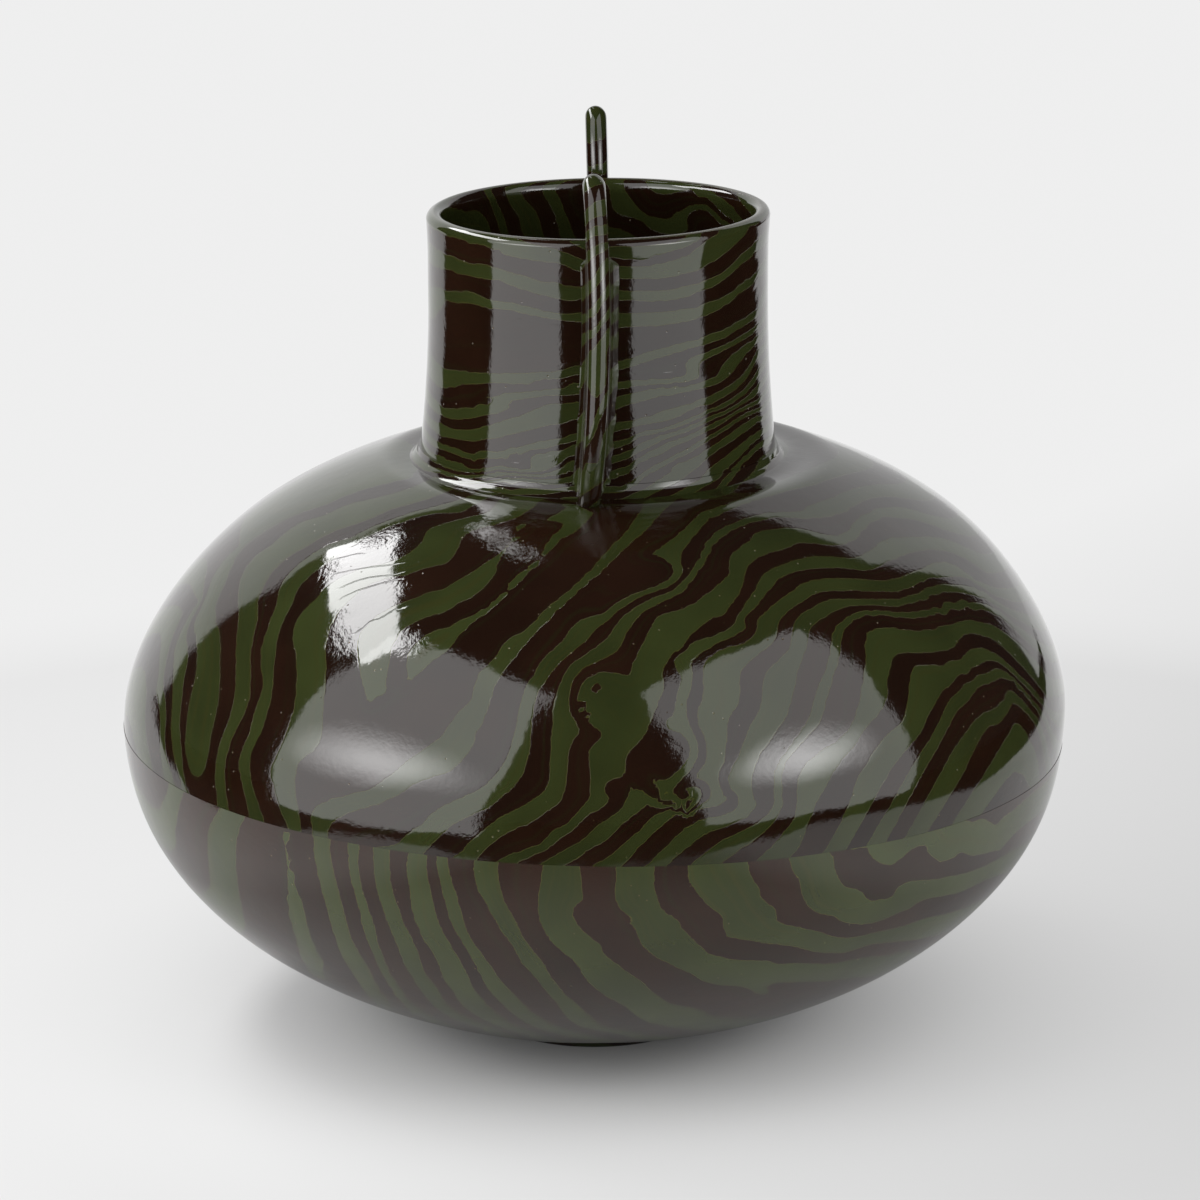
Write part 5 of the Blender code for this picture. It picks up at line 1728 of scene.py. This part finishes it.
def set_camera(scene):
    """The camera at the photograph's place and angle."""
    data = bpy.data.cameras.new("camera")
    data.lens = LENS
    data.sensor_width = SENSOR_WIDTH
    camera = bpy.data.objects.new("camera", data)
    camera.location = CAMERA_PLACE
    camera.rotation_euler = (CAMERA_PITCH, 0, 0)
    scene.collection.objects.link(camera)
    scene.camera = camera


def lay_floor(scene):
    """The flat floor that the vase stands on."""
    mesh = bmesh.new()
    bmesh.ops.create_grid(mesh, x_segments=1, y_segments=1, size=FLOOR_SIZE)
    data = bpy.data.meshes.new("floor")
    mesh.to_mesh(data)
    mesh.free()
    floor = bpy.data.objects.new("floor", data)
    scene.collection.objects.link(floor)
    data.materials.append(floor_paper())


class VASE_OT_studio(bpy.types.Operator):
    """Set the camera, the lamps, the pale floor and the world round the vase"""
    bl_idname = "vase.studio"
    bl_label = "Studio"

    def execute(self, context):
        scene = context.scene
        scene.view_settings.view_transform = "Standard"
        set_camera(scene)
        for name, settings in LAMPS.items():
            lamp(name, *settings)
        lay_floor(scene)
        set_world(scene)
        return {"FINISHED"}


def floor_level(n, across, back, glossy):
    """The level of the floor's own light: painted lamplight that falls to the right and rises to the
    back.
    """
    fall = n.math("MULTIPLY_ADD", glossy, -FALL_LOST_REFLECTED * FLOOR_FALL_RIGHT,
                  FLOOR_FALL_RIGHT)
    level = n.math("MULTIPLY_ADD", across, fall, FLOOR_LEVEL)
    level = n.math("MULTIPLY_ADD", back, FLOOR_RISE_BACK, level)
    return n.math("MINIMUM", n.math("MAXIMUM", level, FLOOR_LOWEST), PAPER_LEVEL)


def paper_share(n, across, back):
    """1 on the paper and 0 past its edges."""
    behind = n.math("MAXIMUM", back, 0.0)
    from_left = n.math("MULTIPLY_ADD", behind, WIDENING_LEFT, across)
    from_right = n.math("MULTIPLY_ADD", behind, -WIDENING_RIGHT, across)
    return n.product(n.past(from_left, PAPER_LEFT, PAPER_SOFTNESS),
                     n.under(from_right, PAPER_RIGHT, PAPER_SOFTNESS),
                     n.past(back, PAPER_FRONT, PAPER_SOFTNESS))


def floor_paper():
    """White paper that keeps the vase's shadow and glows far away.

    In reflections it is dimmer in front of the vase, and dark past its edges.
    """
    material, n = new_material("floor_paper")
    across, back, _ = n.split(n.add("ShaderNodeTexCoord").outputs["Object"])
    reach = n.math("SQRT", n.total(n.math("POWER", across, 2.0), n.math("POWER", back, 2.0)))
    path = n.add("ShaderNodeLightPath")
    glossy = path.outputs["Is Glossy Ray"]
    brighter = n.largest(n.ramp(back, *BRIGHTER_BEFORE),
                         n.ramp(n.math("ABSOLUTE", across), *BRIGHTER_BESIDE),
                         n.ramp(back, *BRIGHTER_BEHIND))

    paper = n.add("ShaderNodeBsdfDiffuse")
    reflected = n.mix(brighter, grey(0.0), grey(FLOOR_ALBEDO * REFLECTED_FLOOR))
    n.feed(paper.inputs["Color"], n.mix(glossy, grey(FLOOR_ALBEDO), reflected))
    glow = n.add("ShaderNodeEmission")
    boost = n.math("MULTIPLY_ADD", glossy,
                   n.math("MULTIPLY_ADD", brighter, REFLECTED_LEVEL, -1.0), 1.0)
    n.link(n.product(floor_level(n, across, back, glossy), boost), glow.inputs["Strength"])
    far = n.product(
        n.largest(n.ramp(reach, *FAR_FLOOR), n.ramp(reach, *NEAR_FLOOR)),
        n.largest(path.outputs["Is Camera Ray"],
                  n.product(glossy, n.ramp(reach, *FAR_FLOOR_REFLECTED))))
    floor = n.mix_shaders(far, paper.outputs[0], glow.outputs[0])

    dark = n.add("ShaderNodeBsdfDiffuse")
    n.feed(dark.inputs["Color"], grey(DARK_FLOOR))
    off_paper = n.math("SUBTRACT", 1.0, paper_share(n, across, back))
    n.finish_with(n.mix_shaders(n.product(off_paper, glossy), floor, dark.outputs[0]))
    return material


def set_world(scene):
    """White behind the vase, an even soft light on it, and a dim room in its reflections."""
    world = bpy.data.worlds.new("studio")
    scene.world = world
    world.use_nodes = True
    n = Nodes(world.node_tree)
    across, back, up = n.split(n.add("ShaderNodeTexCoord").outputs["Generated"])
    depth = n.math("MAXIMUM", back, LEAST_DEPTH)
    aside = n.math("DIVIDE", across, depth)
    crest = n.math("DIVIDE", n.math("SUBTRACT", up, n.product(across, SWEEP_TILT)), depth)
    dimmer = n.product(n.ramp(aside, *DIMMER_FROM), n.ramp(aside, *DIMMER_TO))
    sweep = n.product(n.under(aside, SWEEP_RIGHT, SWEEP_SOFTNESS),
                      n.under(crest, SWEEP_TOP, SWEEP_TOP_SOFTNESS),
                      n.past(aside, SWEEP_LEFT, SWEEP_SOFTNESS),
                      n.math("SUBTRACT", 1.0, dimmer))
    room = n.mix(sweep, colour(ROOM_COLOUR), grey(PAPER_LEVEL * REFLECTED_LEVEL))
    path = n.add("ShaderNodeLightPath")
    soft = n.mix(path.outputs["Is Glossy Ray"], grey(SOFT_LIGHT), room)
    seen = n.largest(path.outputs["Is Camera Ray"], path.outputs["Is Transmission Ray"])
    background = n.add("ShaderNodeBackground")
    n.link(n.mix(seen, soft, grey(PAPER_LEVEL)), background.inputs["Color"])
    n.finish_with(background.outputs[0], "ShaderNodeOutputWorld")


PIECE_OPERATORS = (VASE_OT_dome, VASE_OT_bowl, VASE_OT_neck, VASE_OT_fins, VASE_OT_hidden,
                   VASE_OT_studio)


class VASE_PT_panel(bpy.types.Panel):
    """Lists the vase's pieces and its sizes"""
    bl_label = "Marbled Vase"
    bl_idname = "VASE_PT_panel"
    bl_space_type = "VIEW_3D"
    bl_region_type = "UI"
    bl_category = "Vase"

    def draw(self, context):
        for group in (context.scene.vase_shape, context.scene.vase_finish):
            for name in group.bl_rna.properties.keys():
                if name not in ("rna_type", "name"):
                    self.layout.prop(group, name)
        for operator in PIECE_OPERATORS:
            self.layout.operator(operator.bl_idname)


CLASSES = (VaseShape, VaseFinish) + PIECE_OPERATORS + (VASE_PT_panel,)


def register():
    """Add the vase's classes and settings to Blender."""
    for item in CLASSES:
        bpy.utils.register_class(item)
    bpy.types.Scene.vase_shape = PointerProperty(type=VaseShape)
    bpy.types.Scene.vase_finish = PointerProperty(type=VaseFinish)


def unregister():
    """Take the vase's classes and settings out of Blender."""
    del bpy.types.Scene.vase_finish
    del bpy.types.Scene.vase_shape
    for item in reversed(CLASSES):
        bpy.utils.unregister_class(item)


def main():
    """Make every piece and the studio."""
    register()
    bpy.ops.vase.dome()
    bpy.ops.vase.bowl()
    bpy.ops.vase.neck()
    bpy.ops.vase.fins()
    bpy.ops.vase.hidden()
    bpy.ops.vase.studio()


if __name__ == "__main__":
    main()
